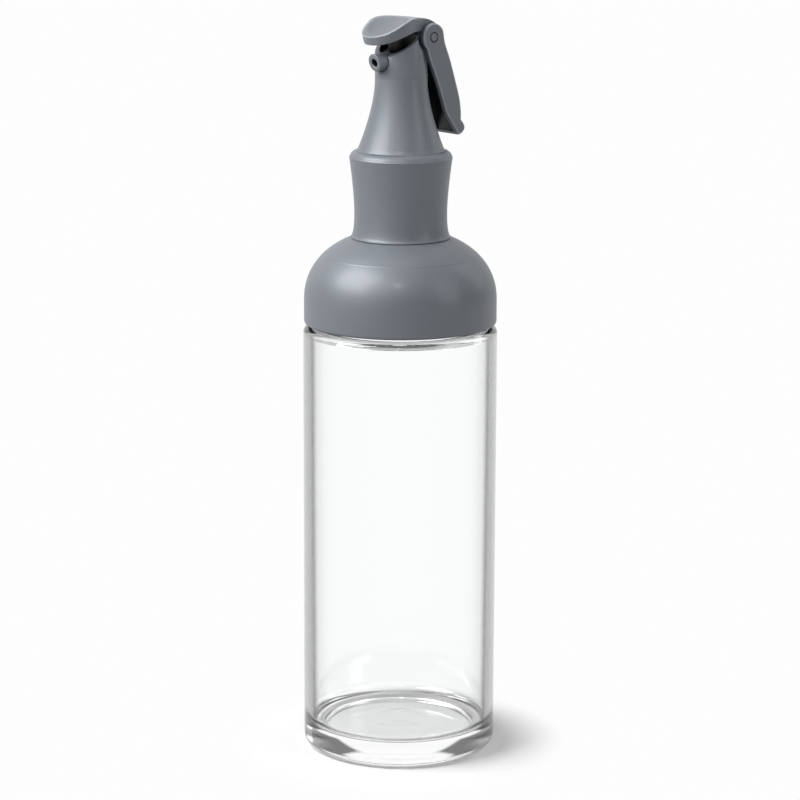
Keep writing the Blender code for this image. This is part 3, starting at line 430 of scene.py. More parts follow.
glassLook = {
    "clear": 0.995,
    "edge": 0.35,            # painted shade on the inner faces, seen edge on
    "edgeStart": 0.35,
    "ior": 1.50,
    "tint": (0.993, 1.0, 0.998),
    # painted shade against how far the surface turns away, for the outer wall and the solid base
    "wall": [(0.0, 0.995), (0.36, 0.97), (0.50, 0.88), (0.57, 0.16), (0.66, 0.17), (0.76, 0.22),
             (0.90, 0.22), (1.0, 0.4)],
    "paintedBaseShade": [(0.0, 0.995), (0.12, 0.985), (0.17, 0.035), (0.30, 0.03), (0.42, 0.06), (0.52, 0.18),
             (0.62, 0.28), (1.0, 0.35)],
    "wallFrom": 33.4 * mm,   # the radius where the outer wall's painted shade starts
    "wallEase": 0.6 * mm,    # and the width over which it comes in
    "baseFoot": (2.6 * mm, 3.4 * mm),    # the heights over which the base's painted shade comes and goes
    "baseHead": (8.9 * mm, 9.7 * mm),
    "baseMiddle": 6.0 * mm,
    "baseTaper": 42.0,       # how fast its dark parts narrow above and below the middle, per metre
    "waves": 45.0,           # the faint waviness of pressed glass
    "wave": 0.05,
    "waveDepth": 0.2 * mm,
}


def makeGlass(look):
    # clear flint glass: light bends in it, and it takes painted shade where it is thick and seen edge on
    material, tree, shader = makeMaterial("clearGlass")
    place = addNode(tree, "TexCoord").outputs["Object"]
    facing = addNode(tree, "LayerWeight", {"Blend": 0.5}).outputs["Facing"]
    # painted shade on faces seen edge on, and on the outer wall
    inner = easedStep(tree, facing, look["edgeStart"], 1.0, look["clear"], look["edge"])
    wall = shadeRamp(tree, facing, look["wall"])
    # how far out, and how high up, the surface is
    across = addNode(tree, "VectorMath", {0: place, 1: (1, 1, 0)}, operation="MULTIPLY")
    radius = addNode(tree, "VectorMath", {0: across.outputs["Vector"]}, operation="LENGTH")
    outer = easedStep(tree, radius.outputs["Value"], look["wallFrom"], look["wallFrom"] + look["wallEase"])
    height = addNode(tree, "SeparateXYZ", {"Vector": place}).outputs["Z"]
    # painted shade in the solid base, narrowing above and below its middle
    band = calculate(tree, "MULTIPLY", easedStep(tree, height, *look["baseFoot"]),
                     easedStep(tree, height, *look["baseHead"], 1.0, 0.0))
    solid = calculate(tree, "MULTIPLY", band, outer)
    offMiddle = calculate(tree, "ABSOLUTE", calculate(tree, "SUBTRACT", height, look["baseMiddle"]))
    tapered = calculate(tree, "MULTIPLY_ADD", offMiddle, -look["baseTaper"], facing)
    paintedBaseShade = shadeRamp(tree, tapered, look["paintedBaseShade"])
    paintedGlassShade = mixColours(tree, solid, mixColours(tree, outer, inner, wall), paintedBaseShade)
    tint = addNode(tree, "VectorMath", {0: paintedGlassShade, 1: look["tint"]}, operation="MULTIPLY")
    wave = addNode(tree, "TexNoise", {"Vector": place, "Scale": look["waves"], "Detail": 1.0})
    ripple = addNode(tree, "Bump", {
        "Strength": look["wave"], "Distance": look["waveDepth"], "Height": wave.outputs["Fac"]})
    feed(tree, shader, {
        "Base Color": tint.outputs["Vector"], "Normal": ripple.outputs["Normal"], "Roughness": 0.0,
        "IOR": look["ior"], "Transmission Weight": 1.0})
    return material


clearGlass = makeGlass(glassLook)
springSteel = makeSteel(steelLook)
print("materials made")

glassVessel = {
    "radius": 35.0 * mm,
    "inside": 32.0 * mm,
    "floor": 9.0 * mm,
    "floorRings": [(0, 0), (6, 0), (8.6, 0.04), (9.4, 0.10), (10.4, 0.03), (14, 0)],    # mm out, mm up
    "footRound": 3.8 * mm,
    "floorRound": 4.0 * mm,
    "ceiling": 154.4 * mm,
    "ceilingRound": 1.2 * mm,
    "shoulderRound": 2.0 * mm,
    "neckOutside": 29.0 * mm,
    "neckInside": 26.2 * mm,
    "lipRound": 1.1 * mm,
    "fillet": 1.2 * mm,
    "bead": 1.078 * mm,
    "beadDrops": (3.5 * mm, 8.5 * mm),
    "beadShape": [(1.35, 0), (0.9, 0.45), (0.45, 0.87), (0, 1), (-0.45, 0.87), (-0.9, 0.45),
                  (-1.35, 0)],           # mm along and the share of its height
    "punt": 27.0 * mm,
    "puntDepth": 0.8 * mm,
    "puntShape": [(1.2, 0), (0.7, 0.1875), (0.2, 0.7), (-0.6, 0.95), (-2.0, 1)],    # mm out, share of depth
    "turns": 160,
}


def makeGlassVessel(size):
    inside = size["inside"]
    outside = size["radius"]
    neckIn = size["neckInside"]
    neckOut = size["neckOutside"]
    lip = stack["lip"]
    top = stack["shoulder"]
    floor = size["floor"]
    ceiling = size["ceiling"]
    outline = [(out * mm, floor + rise * mm) for out, rise in size["floorRings"]]
    outline += corner(inside, floor, size["floorRound"], (-1, 1), -90, 0, 12)
    outline += corner(inside, ceiling, size["ceilingRound"], (-1, -1), 0, 90, 8)
    outline += corner(neckIn, ceiling, size["fillet"], (1, 1), 270, 180)
    outline += corner(neckIn, lip, size["lipRound"], (1, -1), 180, 90)
    outline += corner(neckOut, lip, size["lipRound"], (-1, -1), 90, 0)
    for drop in size["beadDrops"]:
        outline += [(neckOut + size["bead"] * share, lip - drop + along * mm)
                    for along, share in size["beadShape"]]
    outline += corner(neckOut, top, size["fillet"], (1, 1), 180, 270)
    outline += corner(outside, top, size["shoulderRound"], (-1, -1), 90, 0, 12)
    outline += corner(outside, 0, size["footRound"], (-1, 1), 0, -90, 12)
    deep = size["puntDepth"]
    outline += [(size["punt"] + out * mm, deep * share) for out, share in size["puntShape"]] + [(0, deep)]
    vessel = turnedPiece("glassVessel", outline, size["turns"], 60)
    seat(vessel, clearGlass, "glass_bottle", "bottle")


makeGlassVessel(glassVessel)
print("glass vessel made")

domeShell = {
    "radius": 34.7 * mm,
    "rise": 25.6 * mm,
    "fullness": 2.2,
    "wall": 2.2 * mm,
    "hole": 16.3 * mm,
    "land": 17.7 * mm,
    "landBreak": 0.5 * mm,   # how far in the land starts to turn down
    "landTurn": 0.01,        # and how much of the curve that takes, in radians
    "edgeRound": 1.1 * mm,
    "witnessAngle": 38.3,    # height of the faint mould line on the curve, in degrees
    "witness": 0.05 * mm,
    "witnessShape": [(0.014, 0), (0.007, 1), (-0.007, 1), (-0.010, 0)],    # radians up, share of its height
}


def makeDomeShell(size):
    power = 2 / size["fullness"]

    def curve(inset, angle):
        return ((size["radius"] - inset) * math.cos(angle) ** power,
                stack["domeCentre"] + (size["rise"] - inset) * max(math.sin(angle), 0) ** power)

    last = math.acos((size["land"] / size["radius"]) ** (1 / power))
    witness = math.radians(size["witnessAngle"])
    outline = [(size["hole"], stack["domeTop"]), (size["land"] - size["landBreak"], stack["domeTop"])]
    angles = evenly(last - size["landTurn"], 0, 36)
    for high, low in zip(angles, angles[1:]):
        outline.append(curve(0, high))
        if high > witness >= low:
            outline += [curve(-size["witness"] * share, witness + up) for up, share in size["witnessShape"]]
    outline.append(curve(0, 0))
    outline += corner(size["radius"], stack["domeEdge"], size["edgeRound"], (-1, 1), 0, -90, 7)
    inner = size["radius"] - size["wall"]
    outline.append((inner, stack["domeEdge"]))
    hole = math.acos((size["hole"] / inner) ** (1 / power))
    outline += [curve(size["wall"], angle) for angle in evenly(0, hole, 24)]
    shell = turnedPiece("domeShell", outline)
    seat(shell, greyPlastic, "dome_cap", "cap")


makeDomeShell(domeShell)
print("dome cap made")

collarSleeve = {
    "foot": 17.7 * mm,
    "waist": 16.65 * mm,
    "top": 18.4 * mm,
    "waistHeight": 9.4 * mm,
    "upperPower": 1.5,       # how the side runs out above the waist, and below it
    "lowerPower": 3.5,
    "topRound": 2.8 * mm,
    "topAngles": [90, 80, 70, 60, 50, 40, 32, 24, 18, 14, 11, 8, 5, 2, -2],
    "lineAngle": 8,          # where the moulded line runs on the top round, in degrees
    "lineSpread": 4,
    "linePride": 0.12 * mm,
    "footLip": 0.3 * mm,
    "footLipIn": 0.12 * mm,
    "footLipUp": 0.24 * mm,
    "bore": 14.6 * mm,
    "spigot": 16.0 * mm,
    "spigotDepth": 5.9 * mm,
}


def makeCollarSleeve(size):
    foot = stack["collarFoot"]
    top = stack["collarTop"]
    waist = foot + size["waistHeight"]
    turn = size["topRound"]
    outline = [(size["bore"], top)]
    for angle in size["topAngles"]:
        proud = turn + size["linePride"] * math.exp(-((angle - size["lineAngle"]) / size["lineSpread"]) ** 2)
        outline.append(around((size["top"] - turn, top - turn), proud, angle))
    outline += [(size["waist"] + (size["top"] - size["waist"]) * share ** size["upperPower"],
                 waist + (top - turn - waist) * share) for share in evenly(0.95, 0, 16)]
    outline += [(size["waist"] + (size["foot"] - size["waist"]) * share ** size["lowerPower"],
                 waist - size["waistHeight"] * share) for share in evenly(0.15, 0.96, 10)]
    seam = stack["domeTop"] + stack["joint"]
    deep = foot - size["spigotDepth"]
    outline += bow((size["foot"] - size["footLipIn"], seam + size["footLipUp"]), size["footLip"], 62, -50, 8)
    outline += [(size["spigot"], seam), (size["spigot"], deep), (size["bore"], deep)]
    sleeve = turnedPiece("collarSleeve", outline)
    seat(sleeve, greyPlastic, "neck_collar", "cap")


makeCollarSleeve(collarSleeve)
print("collar made")

neckCone = {
    "radius": 9.36 * mm,
    "foot": 15.5 * mm,
    "flare": 0.55 * mm,      # the fillet that runs out on the collar
    "coneHeight": 24.1 * mm,
    "conePower": 1.6,
    "wall": 1.7 * mm,
    "skirt": 14.3 * mm,
    "skirtBore": 12.8 * mm,
    "skirtDepth": 14.0 * mm,
    "ledge": 214.367 * mm,
    "bore": 11.2 * mm,
    "well": 7.7 * mm,
    "wellBack": 1.9 * mm,
    "wellDepth": 15.0 * mm,
    "wellStock": 0.9 * mm,   # left standing for the well's own cut
    "cornerWall": 1.0 * mm,
    "recessStart": 4.55 * mm,
    "recessSlant": 0.84,     # how far the ears' recesses run forward, per length outwards
    "recess": 5.55 * mm,
    "recessFoot": [(-1.8 * mm, -12.5 * mm), (4.6 * mm, -14.0 * mm)],    # from the pin
    "seam": 246.0 * mm,
    "seamDepth": 0.045 * mm,
    "seamWide": 0.3 * mm,    # half its width at the surface, and at the bottom
    "seamNarrow": 0.08 * mm,
    "mouthDepth": 8.3 * mm,
    "mouthSlope": 0.58,
    "mouthCurve": 12.0,      # per metre
    "rimRound": 0.45 * mm,
    "lug": 3.8 * mm,
    "lugHalf": 3.1 * mm,
    "lugInset": 1.43 * mm,   # where the lugs' back meets the inside of the wall
    "lugDepth": 14.8 * mm,
    "lugFloor": 1.8 * mm,
    "lugStep": 0.6 * mm,
    "pocket": 5.35 * mm,
    "pinHole": 1.8 * mm,
    "slot": [(-1.9 * mm, -3.4 * mm, -3.9 * mm), (1.9 * mm, 8.4 * mm, 8.4 * mm)],    # corners, from the pin
    "notch": 3.55 * mm,
    "notchDepth": 5.75 * mm,
    "hollowFrom": 248 * mm,  # painted shade in the well above this height, in front of its back wall
    "hollowBack": (1.6 * mm, 2.2 * mm),
}


def mouthHeight(size, y):
    back = y + size["radius"]
    return (stack["neckTop"] - size["mouthDepth"] + size["mouthSlope"] * back
            + size["mouthCurve"] * back * abs(back))


def wellOutline(size, inset, steps=72):
    # round and flat at the back, its corners cut off clear of the recesses
    radius = size["well"] - inset
    back = size["wellBack"] - inset
    slant = size["recessSlant"]
    slope = math.hypot(1, slant)
    reach = stack["pinY"] - size["pocket"] + slant * size["recessStart"]
    reach -= (size["cornerWall"] + inset) * slope
    half = math.degrees(math.atan2(1, slant) - math.acos(reach / slope / radius))
    wide = (reach - back) / slant
    return bow((0, 0), radius, 180 - half, 360 + half, steps) + [(wide, back), (-wide, back)]


def recessTool(size, way):
    # the room for an ear and its arm, slanted forwards
    low = size["recessStart"]
    side = pinBow(size["recess"], 64, 227, 48)
    side += [byPin(0, y, z)[1:] for y, z in size["recessFoot"]]
    tool = slabPiece("recessTool", side, *sorted((way * low, way * 2 * size["radius"])))
    for vertex in tool.data.vertices:
        vertex.co.y -= size["recessSlant"] * (abs(vertex.co.x) - low)
    return tool


def neckOutline(size):
    foot = stack["neckFoot"]
    coneTop = foot + size["coneHeight"]
    top = stack["neckTop"]

    def radiusAt(height):
        share = max((coneTop - height) / size["coneHeight"], 0)
        return size["radius"] + (size["foot"] - size["radius"]) * share ** size["conePower"]

    seam = size["seam"]
    wide = size["radius"]
    cut = wide - size["seamDepth"]
    outline = [(0, top), (wide, top), (wide, seam + size["seamWide"]), (cut, seam + size["seamNarrow"]),
               (cut, seam - size["seamNarrow"]), (wide, seam - size["seamWide"])]
    outline += [(radiusAt(height), height) for height in evenly(coneTop, foot + 0.5 * mm, 26)]
    joint = stack["collarTop"] + stack["joint"]
    skirtEnd = stack["collarTop"] - size["skirtDepth"]
    boreTop = foot + size["coneHeight"] / 4
    outline += corner(size["foot"], joint, size["flare"], (1, 1), 190, 264)
    outline += [(size["foot"] + size["flare"], joint), (size["skirt"], joint), (size["skirt"], skirtEnd),
                (size["skirtBore"], skirtEnd), (size["skirtBore"], size["ledge"]),
                (size["bore"], size["ledge"]), (size["bore"], boreTop)]
    inner = size["well"] - size["wellStock"]
    for height in evenly(boreTop, coneTop, 10):
        radius = radiusAt(height) - size["wall"]
        if inner < radius < size["bore"]:
            outline.append((radius, height))
    floor = top - size["wellDepth"] + size["wellStock"]
    return outline + [(inner, coneTop), (inner, floor), (0, floor)]


def softenRim(neck, size):
    # rounds the mouth's rim, picked by its place on the slanted cut
    makeActive(neck)
    bpy.ops.object.mode_set(mode="EDIT")
    bpy.ops.mesh.select_mode(type="EDGE")
    bpy.ops.mesh.select_all(action="DESELECT")
    bpy.ops.object.mode_set(mode="OBJECT")
    mesh = neck.data
    faceNormals = {}
    for face in mesh.polygons:
        for key in face.edge_keys:
            faceNormals.setdefault(key, []).append(face.normal.copy())
    for edge in mesh.edges:
        normals = faceNormals.get(tuple(sorted(edge.vertices)), [])
        if len(normals) != 2 or normals[0].angle(normals[1], 0) < math.radians(30):
            continue
        ends = [mesh.vertices[index].co for index in edge.vertices]
        if all(abs(co.z - mouthHeight(size, co.y)) < 0.02 * mm or abs(co.z - stack["neckTop"]) < 0.01 * mm
               for co in ends):
            edge.select = True
    bpy.ops.object.mode_set(mode="EDIT")
    bpy.ops.mesh.bevel(offset=size["rimRound"], segments=4, affect="EDGES", clamp_overlap=True)
    bpy.ops.mesh.select_mode(type="VERT")
    bpy.ops.mesh.select_all(action="SELECT")
    bpy.ops.mesh.remove_doubles(threshold=weld)
    bpy.ops.object.mode_set(mode="OBJECT")


def lugOutline(size):
    # round at the pin, and down behind the well to its floor
    top = stack["neckTop"]
    back = size["radius"] - size["lugInset"]
    front = stack["pinY"] - size["lug"]
    floor = top - size["wellDepth"] + size["lugFloor"]
    step = size["lugStep"]
    return pinBow(size["lug"], 150, -35, 32) + [
        (back, top - size["lugDepth"]), (back - step, top - size["lugDepth"]), (back - step, floor),
        (front, floor), (front, top - step)]


def makeNeckCone(size):
    neck = turnedPiece("neckCone", neckOutline(size), 128)
    top = stack["neckTop"]
    wide = 2 * size["radius"]
    front = -size["radius"] - 1 * mm
    back = size["wellBack"] + 1 * mm
    mouth = [(y, mouthHeight(size, y)) for y in evenly(front, back, 28)]
    mouth += [(back, top + wide), (front, top + wide)]
    shapeWith(neck, slabPiece("mouthTool", mouth, -wide, wide))
    well = wellOutline(size, 0)
    shapeWith(neck, planPiece("wellTool", well, top - size["wellDepth"], top + wide))
    softenRim(neck, size)
    for side in (-1, 1):
        near = side * (size["lugHalf"] - 0.1 * mm)
        shapeWith(neck, pinRod("pocketTool", near, side * wide, size["pocket"], 96))
        shapeWith(neck, recessTool(size, side))
    lugs = slabPiece("lugTool", lugOutline(size), -size["lugHalf"], size["lugHalf"])
    shapeWith(neck, lugs, "UNION")
    shapeWith(neck, blockPiece("slotTool", *(byPin(*place) for place in size["slot"])))
    shapeWith(neck, pinRod("holeTool", -wide, wide, size["pinHole"]))
    notch = rodPiece("notchTool", nozzlePoint(0), nozzlePoint(size["notchDepth"]), size["notch"], 72)
    shapeWith(neck, notch)
    shadeSmooth(neck, 32)
    # painted shade inside the mouth's well and on its back wall
    backStart, backEnd = size["hollowBack"]
    markPaintedShade(neck, lambda place, normal: place.z > size["hollowFrom"] and place.y < backEnd
               and (normal.x * place.x + normal.y * place.y < -0.3 * place.xy.length
                    or (normal.y < -0.7 and place.y > backStart)))
    seat(neck, greyPlastic, "pour_neck", "cap")


spoutInsert = {
    "tilt": 3.0,             # degrees, the nozzle's axis up from level
    "lean": 14.0,            # and its face over from upright
    "face": (0, -12.45 * mm, 251.867 * mm),
    "radius": 3.2 * mm,
    "bore": 1.4 * mm,
    "mouthDepth": 3.0 * mm,  # how far the barrel is bored before its edges are rounded
    "pastRoot": 1.6 * mm,    # and how far the bore runs on behind it
    "edgeRound": 0.45 * mm,
    "root": 6.0 * mm,
    "plugInset": 0.3 * mm,
    "floor": 247.267 * mm,
    "deckDepth": 9.0 * mm,
    "deckSlope": 18.0,
    "deckReach": (-9.0 * mm, 4.0 * mm),
    "valveY": -1.9 * mm,
    "passageEnds": (240 * mm, 262 * mm),
    # each across, radius and sides
    "passages": {"valveTool": (0.8 * mm, 1.6 * mm, 48), "ventTool": (-2.0 * mm, 0.5 * mm, 32)},
    "beyond": 10 * mm,       # how far the cutting tools reach past the piece
}


def nozzlePoint(distance):
    # on the nozzle's axis, a distance in from its face
    tilt = math.radians(spoutInsert["tilt"])
    return Vector(spoutInsert["face"]) + Vector((0, math.cos(tilt), math.sin(tilt))) * distance


def deckHeight(y):
    slope = math.tan(math.radians(spoutInsert["deckSlope"]))
    return stack["neckTop"] - spoutInsert["deckDepth"] + slope * (y + neckCone["radius"])


def makeBarrel(size):
    faceX, faceY, faceZ = size["face"]
    beyond = size["beyond"]
    root = nozzlePoint(-faceY - size["root"])
    barrel = rodPiece("barrelTool", nozzlePoint(-2 * mm), root, size["radius"], 96)
    lean = math.radians(size["lean"])
    edge = [(faceY + side * beyond * math.sin(lean), faceZ - side * beyond * math.cos(lean))
            for side in (-1, 1)]
    ahead = [(y - beyond, z) for y, z in reversed(edge)]
    shapeWith(barrel, slabPiece("faceTool", edge + ahead, faceX - beyond, faceX + beyond))
    bore = rodPiece("boreTool", nozzlePoint(-2 * mm), nozzlePoint(size["mouthDepth"]), size["bore"])
    shapeWith(barrel, bore)
    softenEdges(barrel, size["edgeRound"], 4, 50)
    return barrel


def makeSpoutInsert(size):
    top = stack["neckTop"]
    insert = planPiece("spoutNozzle", wellOutline(neckCone, size["plugInset"]), size["floor"], top)
    front, back = size["deckReach"]
    high = top + size["beyond"]
    deck = [(front, deckHeight(front)), (back, deckHeight(back)), (back, high), (front, high)]
    shapeWith(insert, slabPiece("deckTool", deck, -12 * mm, 12 * mm))
    shapeWith(insert, makeBarrel(size), "UNION")
    end = -size["face"][1] - size["root"] + size["pastRoot"]
    bore = rodPiece("boreTool", nozzlePoint(size["mouthDepth"] - 0.5 * mm), nozzlePoint(end), size["bore"])
    shapeWith(insert, bore)
    for name, (across, radius, sides) in size["passages"].items():
        low, high = ((across, size["valveY"], height) for height in size["passageEnds"])
        shapeWith(insert, rodPiece(name, low, high, radius, sides))
    shadeSmooth(insert)
    start = nozzlePoint(0)
    axis = (nozzlePoint(1 * mm) - start).normalized()
    # painted shade inside the nozzle's bore
    markPaintedShade(insert, lambda place, normal: (place - start).cross(axis).length < size["bore"] + 0.05 * mm
               and abs(normal.dot(axis)) < 0.5)
    seat(insert, greyPlastic, "spout_insert", "cap")


makeNeckCone(neckCone)
print("pouring neck made")
makeSpoutInsert(spoutInsert)
print("nozzle made")

thumbLid = {
    "half": 9.1 * mm,
    "tip": 15.5 * mm,
    "widest": 6.2 * mm,
    "tongueStart": 8.0 * mm,
    "tongueHalf": 4.7 * mm,
    "draft": 1.0 * mm,
    "wallHeight": 4.0 * mm,
    "blankDepth": 9.0 * mm,
    "lift": 0.4 * mm,        # clear of the neck's top
    "hood": 6.5 * mm,
    "hoodBack": 5.25 * mm,
    "hoodArc": (38, 100),    # degrees round the pin
    "hoodPower": 2.5,
    "hoodBore": 4.2 * mm,
    "cell": 0.18 * mm,
    "passes": 12,
    "kept": 0.3,
    "dishMiddle": 7.2 * mm,
    "dishDepth": 1.1 * mm,
    "dishLength": 13.8 * mm,
    "dishWidth": 13.2 * mm,
    "earCut": 5.35 * mm,     # room for the lever's ears
    "earStart": 4.6 * mm,    # and how far out it begins
    "cheek": 4.9 * mm,
    "hub": 2.7 * mm,
    "cheekReach": (3.4 * mm, 4.65 * mm),
    "pinHole": 1.8 * mm,
    "socket": 3.2 * mm,
    "socketRoom": 0.3 * mm,
    "paintedHighlight": 0.7 * mm,       # the reach of the painted highlight along its rim, and how far back it runs
    "paintedHighlightEnd": 1.0 * mm,
    "wide": 20 * mm,         # how far the cutting tools reach to the sides
    # (forward, up) from the pin, as shares of the length and of the hood
    "top": [(0.089, 1.029), (0.17, 1.058), (0.27, 1.098), (0.39, 1.117), (0.50, 1.058),
            (0.61, 0.891), (0.74, 0.606), (0.865, 0.330), (1.0, 0.098)],
    "under": [(0.48, 0.281), (0.595, 0.148), (0.72, -0.039), (0.865, -0.246), (1.0, -0.394)],
}

stopperPlug = {
    "y": -1.9 * mm,
    "lean": 11,              # degrees
    "radius": 2.9 * mm,
    "below": 6.0 * mm,
    "clear": 0.3 * mm,       # above its seat
    "sink": 1.0 * mm,        # into the lid
    "edgeRound": 0.3 * mm,
}


def lidCurve(size, offsets):
    span = stack["pinY"] + size["tip"] + 1 * mm
    return [(stack["pinY"] - y * span, stack["pinZ"] + z * size["hood"])
            for y, z in throughPoints(offsets, 8)]


def lidPlan(size, inset):
    wide = size["half"] - inset
    long = size["tip"] - size["widest"] - inset
    nose = [(wide * x, -size["widest"] + long * y) for x, y in bow((0, 0), 1, 180, 360, 64)]
    right = []
    for share in evenly(0.04, 1, 24):
        half = size["tongueHalf"] + (wide - size["tongueHalf"]) * (0.5 + 0.5 * math.cos(math.pi * share))
        right.append((half, -size["widest"] + (size["tongueStart"] + size["widest"]) * share))
    right.append((size["tongueHalf"], stack["pinY"] + 2 * size["hood"]))
    return nose + right + [(-x, y) for x, y in reversed(right)]


def lidBlank(size):
    # the plan outline drawn at the bottom, extruded up and let out for the draft
    def rounded(place):
        return round(place[0], 7), round(place[1], 7)

    lean = size["draft"] * size["blankDepth"] / size["wallHeight"]
    drawn = lidPlan(size, lean)
    middle = stack["neckTop"]
    blank = planPiece("thumbLid", drawn, middle - size["blankDepth"], middle + size["blankDepth"])
    letOut = dict(zip(map(rounded, drawn), lidPlan(size, -lean)))
    for vertex in blank.data.vertices:
        if vertex.co.z > middle:
            vertex.co.x, vertex.co.y = letOut[rounded(vertex.co)]
    return blank


def lidSide(size, topCurve, underCurve, level):
    # from the tip over the top to the hood, and back inside it and along the underside
    start, end = size["hoodArc"]
    side = list(reversed(topCurve))
    for share in evenly(1, 0, 18):
        radius = size["hoodBack"] + (size["hood"] - size["hoodBack"]) * share ** size["hoodPower"]
        side.append(roundPin(radius, start + (end - start) * share))
    meeting = 180 - math.degrees(math.asin(level / size["hoodBore"]))
    return side + pinBow(size["hoodBore"], start, meeting, 24) + underCurve


def makeThumbLid(size):
    wide = size["wide"]
    level = stack["neckTop"] + size["lift"] - stack["pinZ"]
    flat = level / size["hood"]
    topCurve = lidCurve(size, size["top"])
    underCurve = lidCurve(size, [(0.26, flat), (0.36, flat), *size["under"]])
    lid = lidBlank(size)
    side = lidSide(size, topCurve, underCurve, level)
    shapeWith(lid, slabPiece("sideTool", side, -wide, wide), "INTERSECT")
    shapeWith(lid, dishTool(size, topCurve))
    easeAll(lid, size)
    for way in (-1, 1):
        shapeWith(lid, pinRod("earTool", way * size["earStart"], way * wide, size["earCut"], 96))
    cheek = pinBow(size["cheek"], 180, -90, 41)
    cheek += pinBow(size["hub"], -90, -180, 15)
    for way in (-1, 1):
        reach = sorted(way * edge for edge in size["cheekReach"])
        shapeWith(lid, slabPiece("cheekTool", cheek, *reach), "UNION")
    shapeWith(lid, pinRod("holeTool", -wide, wide, size["pinHole"]))
    lean = math.radians(stopperPlug["lean"])
    foot = Vector((0, stopperPlug["y"], deckHeight(stopperPlug["y"])))
    up = Vector((0, -math.sin(lean), math.cos(lean)))
    length = stopperLength(underCurve, foot, up)
    socket = rodPiece("socketTool", foot, foot + up * (length + size["socketRoom"]), size["socket"])
    shapeWith(lid, socket)
    shadeSmooth(lid, 32)
    # a painted highlight along the rim of the lid's top
    plan = lidPlan(size, 0)
    rim = [(start[0] + (end[0] - start[0]) * step / 8, start[1] + (end[1] - start[1]) * step / 8)
           for start, end in zip(plan, plan[1:]) for step in range(8)]
    markPaintedHighlight(lid, [(x, y, heightOn(topCurve, y)) for x, y in rim if y < size["paintedHighlightEnd"]], size["paintedHighlight"])
    seat(lid, greyPlastic, "pour_lid", "lid")
    makeStopperPlug(stopperPlug, foot, up, length)


def heightOn(curve, y):
    for (startY, startZ), (endY, endZ) in zip(curve, curve[1:]):
        if endY <= y <= startY:
            return startZ + (endZ - startZ) * (y - startY) / (endY - startY)
    return curve[0][1]


def stopperLength(underCurve, foot, up):
    # from the deck to a little inside the lid
    length = 0
    while (foot + up * length).z < heightOn(underCurve, (foot + up * length).y):
        length += 0.02 * mm
    return length + stopperPlug["sink"]


def dishTool(size, topCurve):
    # a flattened ball, turned to lie along the lid's slope
    middle = -size["dishMiddle"]
    front = heightOn(topCurve, middle - size["dishLength"] / 3)
    back = heightOn(topCurve, middle + size["dishLength"] / 3)
    slope = math.atan2(back - front, size["dishLength"] * 2 / 3)
    height = size["dishDepth"] * 2.2
    rise = height - size["dishDepth"]
    widen = 1 / math.sqrt(1 - (rise / height) ** 2)
    deselectAll()
    bpy.ops.mesh.primitive_uv_sphere_add(segments=96, ring_count=64, radius=1, location=(0, 0, 0))
    tool = bpy.context.active_object
    turn = Matrix.Rotation(slope, 4, "X") @ Matrix.Translation((0, 0, rise))
    stretch = Matrix.Diagonal((size["dishWidth"] / 2 * widen, size["dishLength"] / 2 * widen, height, 1))
    tool.matrix_world = Matrix.Translation((0, middle, (front + back) / 2)) @ turn @ stretch
    bpy.ops.object.transform_apply(location=True, rotation=True, scale=True)
    return tool


def makeStopperPlug(size, foot, up, length):
    plug = rodPiece("stopperPlug", foot - up * size["below"], foot + up * length, size["radius"], 96)
    front, back, low = -14 * mm, 10 * mm, 230 * mm
    under = [(front, low), (back, low), (back, deckHeight(back) + size["clear"]),
             (front, deckHeight(front) + size["clear"])]
    shapeWith(plug, slabPiece("underTool", under, -12 * mm, 12 * mm))
    softenEdges(plug, size["edgeRound"], 3, 50)
    shadeSmooth(plug)
    seat(plug, plastics["blackRubber"], "lid_stopper", "lid")


makeThumbLid(thumbLid)
print("lid and stopper made")

squeezeArm = {
    "ear": 4.9 * mm,
    "earArc": (222, 24),     # degrees round the pin
    "half": 6.8 * mm,
    "wall": 1.8 * mm,
    "cell": 0.22 * mm,
    "passes": 10,
    "kept": 0.3,
    "channelEnd": 34.6 * mm,
    "channelToe": 0.55 * mm,
    "hoodRoom": 6.14 * mm,
    "play": 0.05 * mm,
    "peg": 0.75 * mm,
    "pegPlace": (3.75 * mm, 197),        # from the pin, and degrees round it
    "pegReach": (3.7 * mm, 5.9 * mm),
    "pinHole": 1.9 * mm,
    "paintedHighlight": 0.95 * mm,      # the reach of the painted highlight along its edges
    # (back, up) in mm from the pin
    "back": [(4.5, 1.9), (5.4, -2.5), (7.64, -8.0), (10.07, -15.2), (12.25, -22.2), (13.0, -26.9),
             (13.0, -30.0)],
    "lip": [(13.0, -30.0), (14.53, -32.0), (14.82, -33.6), (13.57, -35.06), (11.78, -35.7)],
    "front": [(11.78, -35.7), (10.14, -33.2), (8.28, -30.5), (6.1, -27.1), (4.46, -22.7), (2.39, -17.1),
              (0.04, -11.7), (-2.1, -6.9), (-2.9, -4.0)],
}


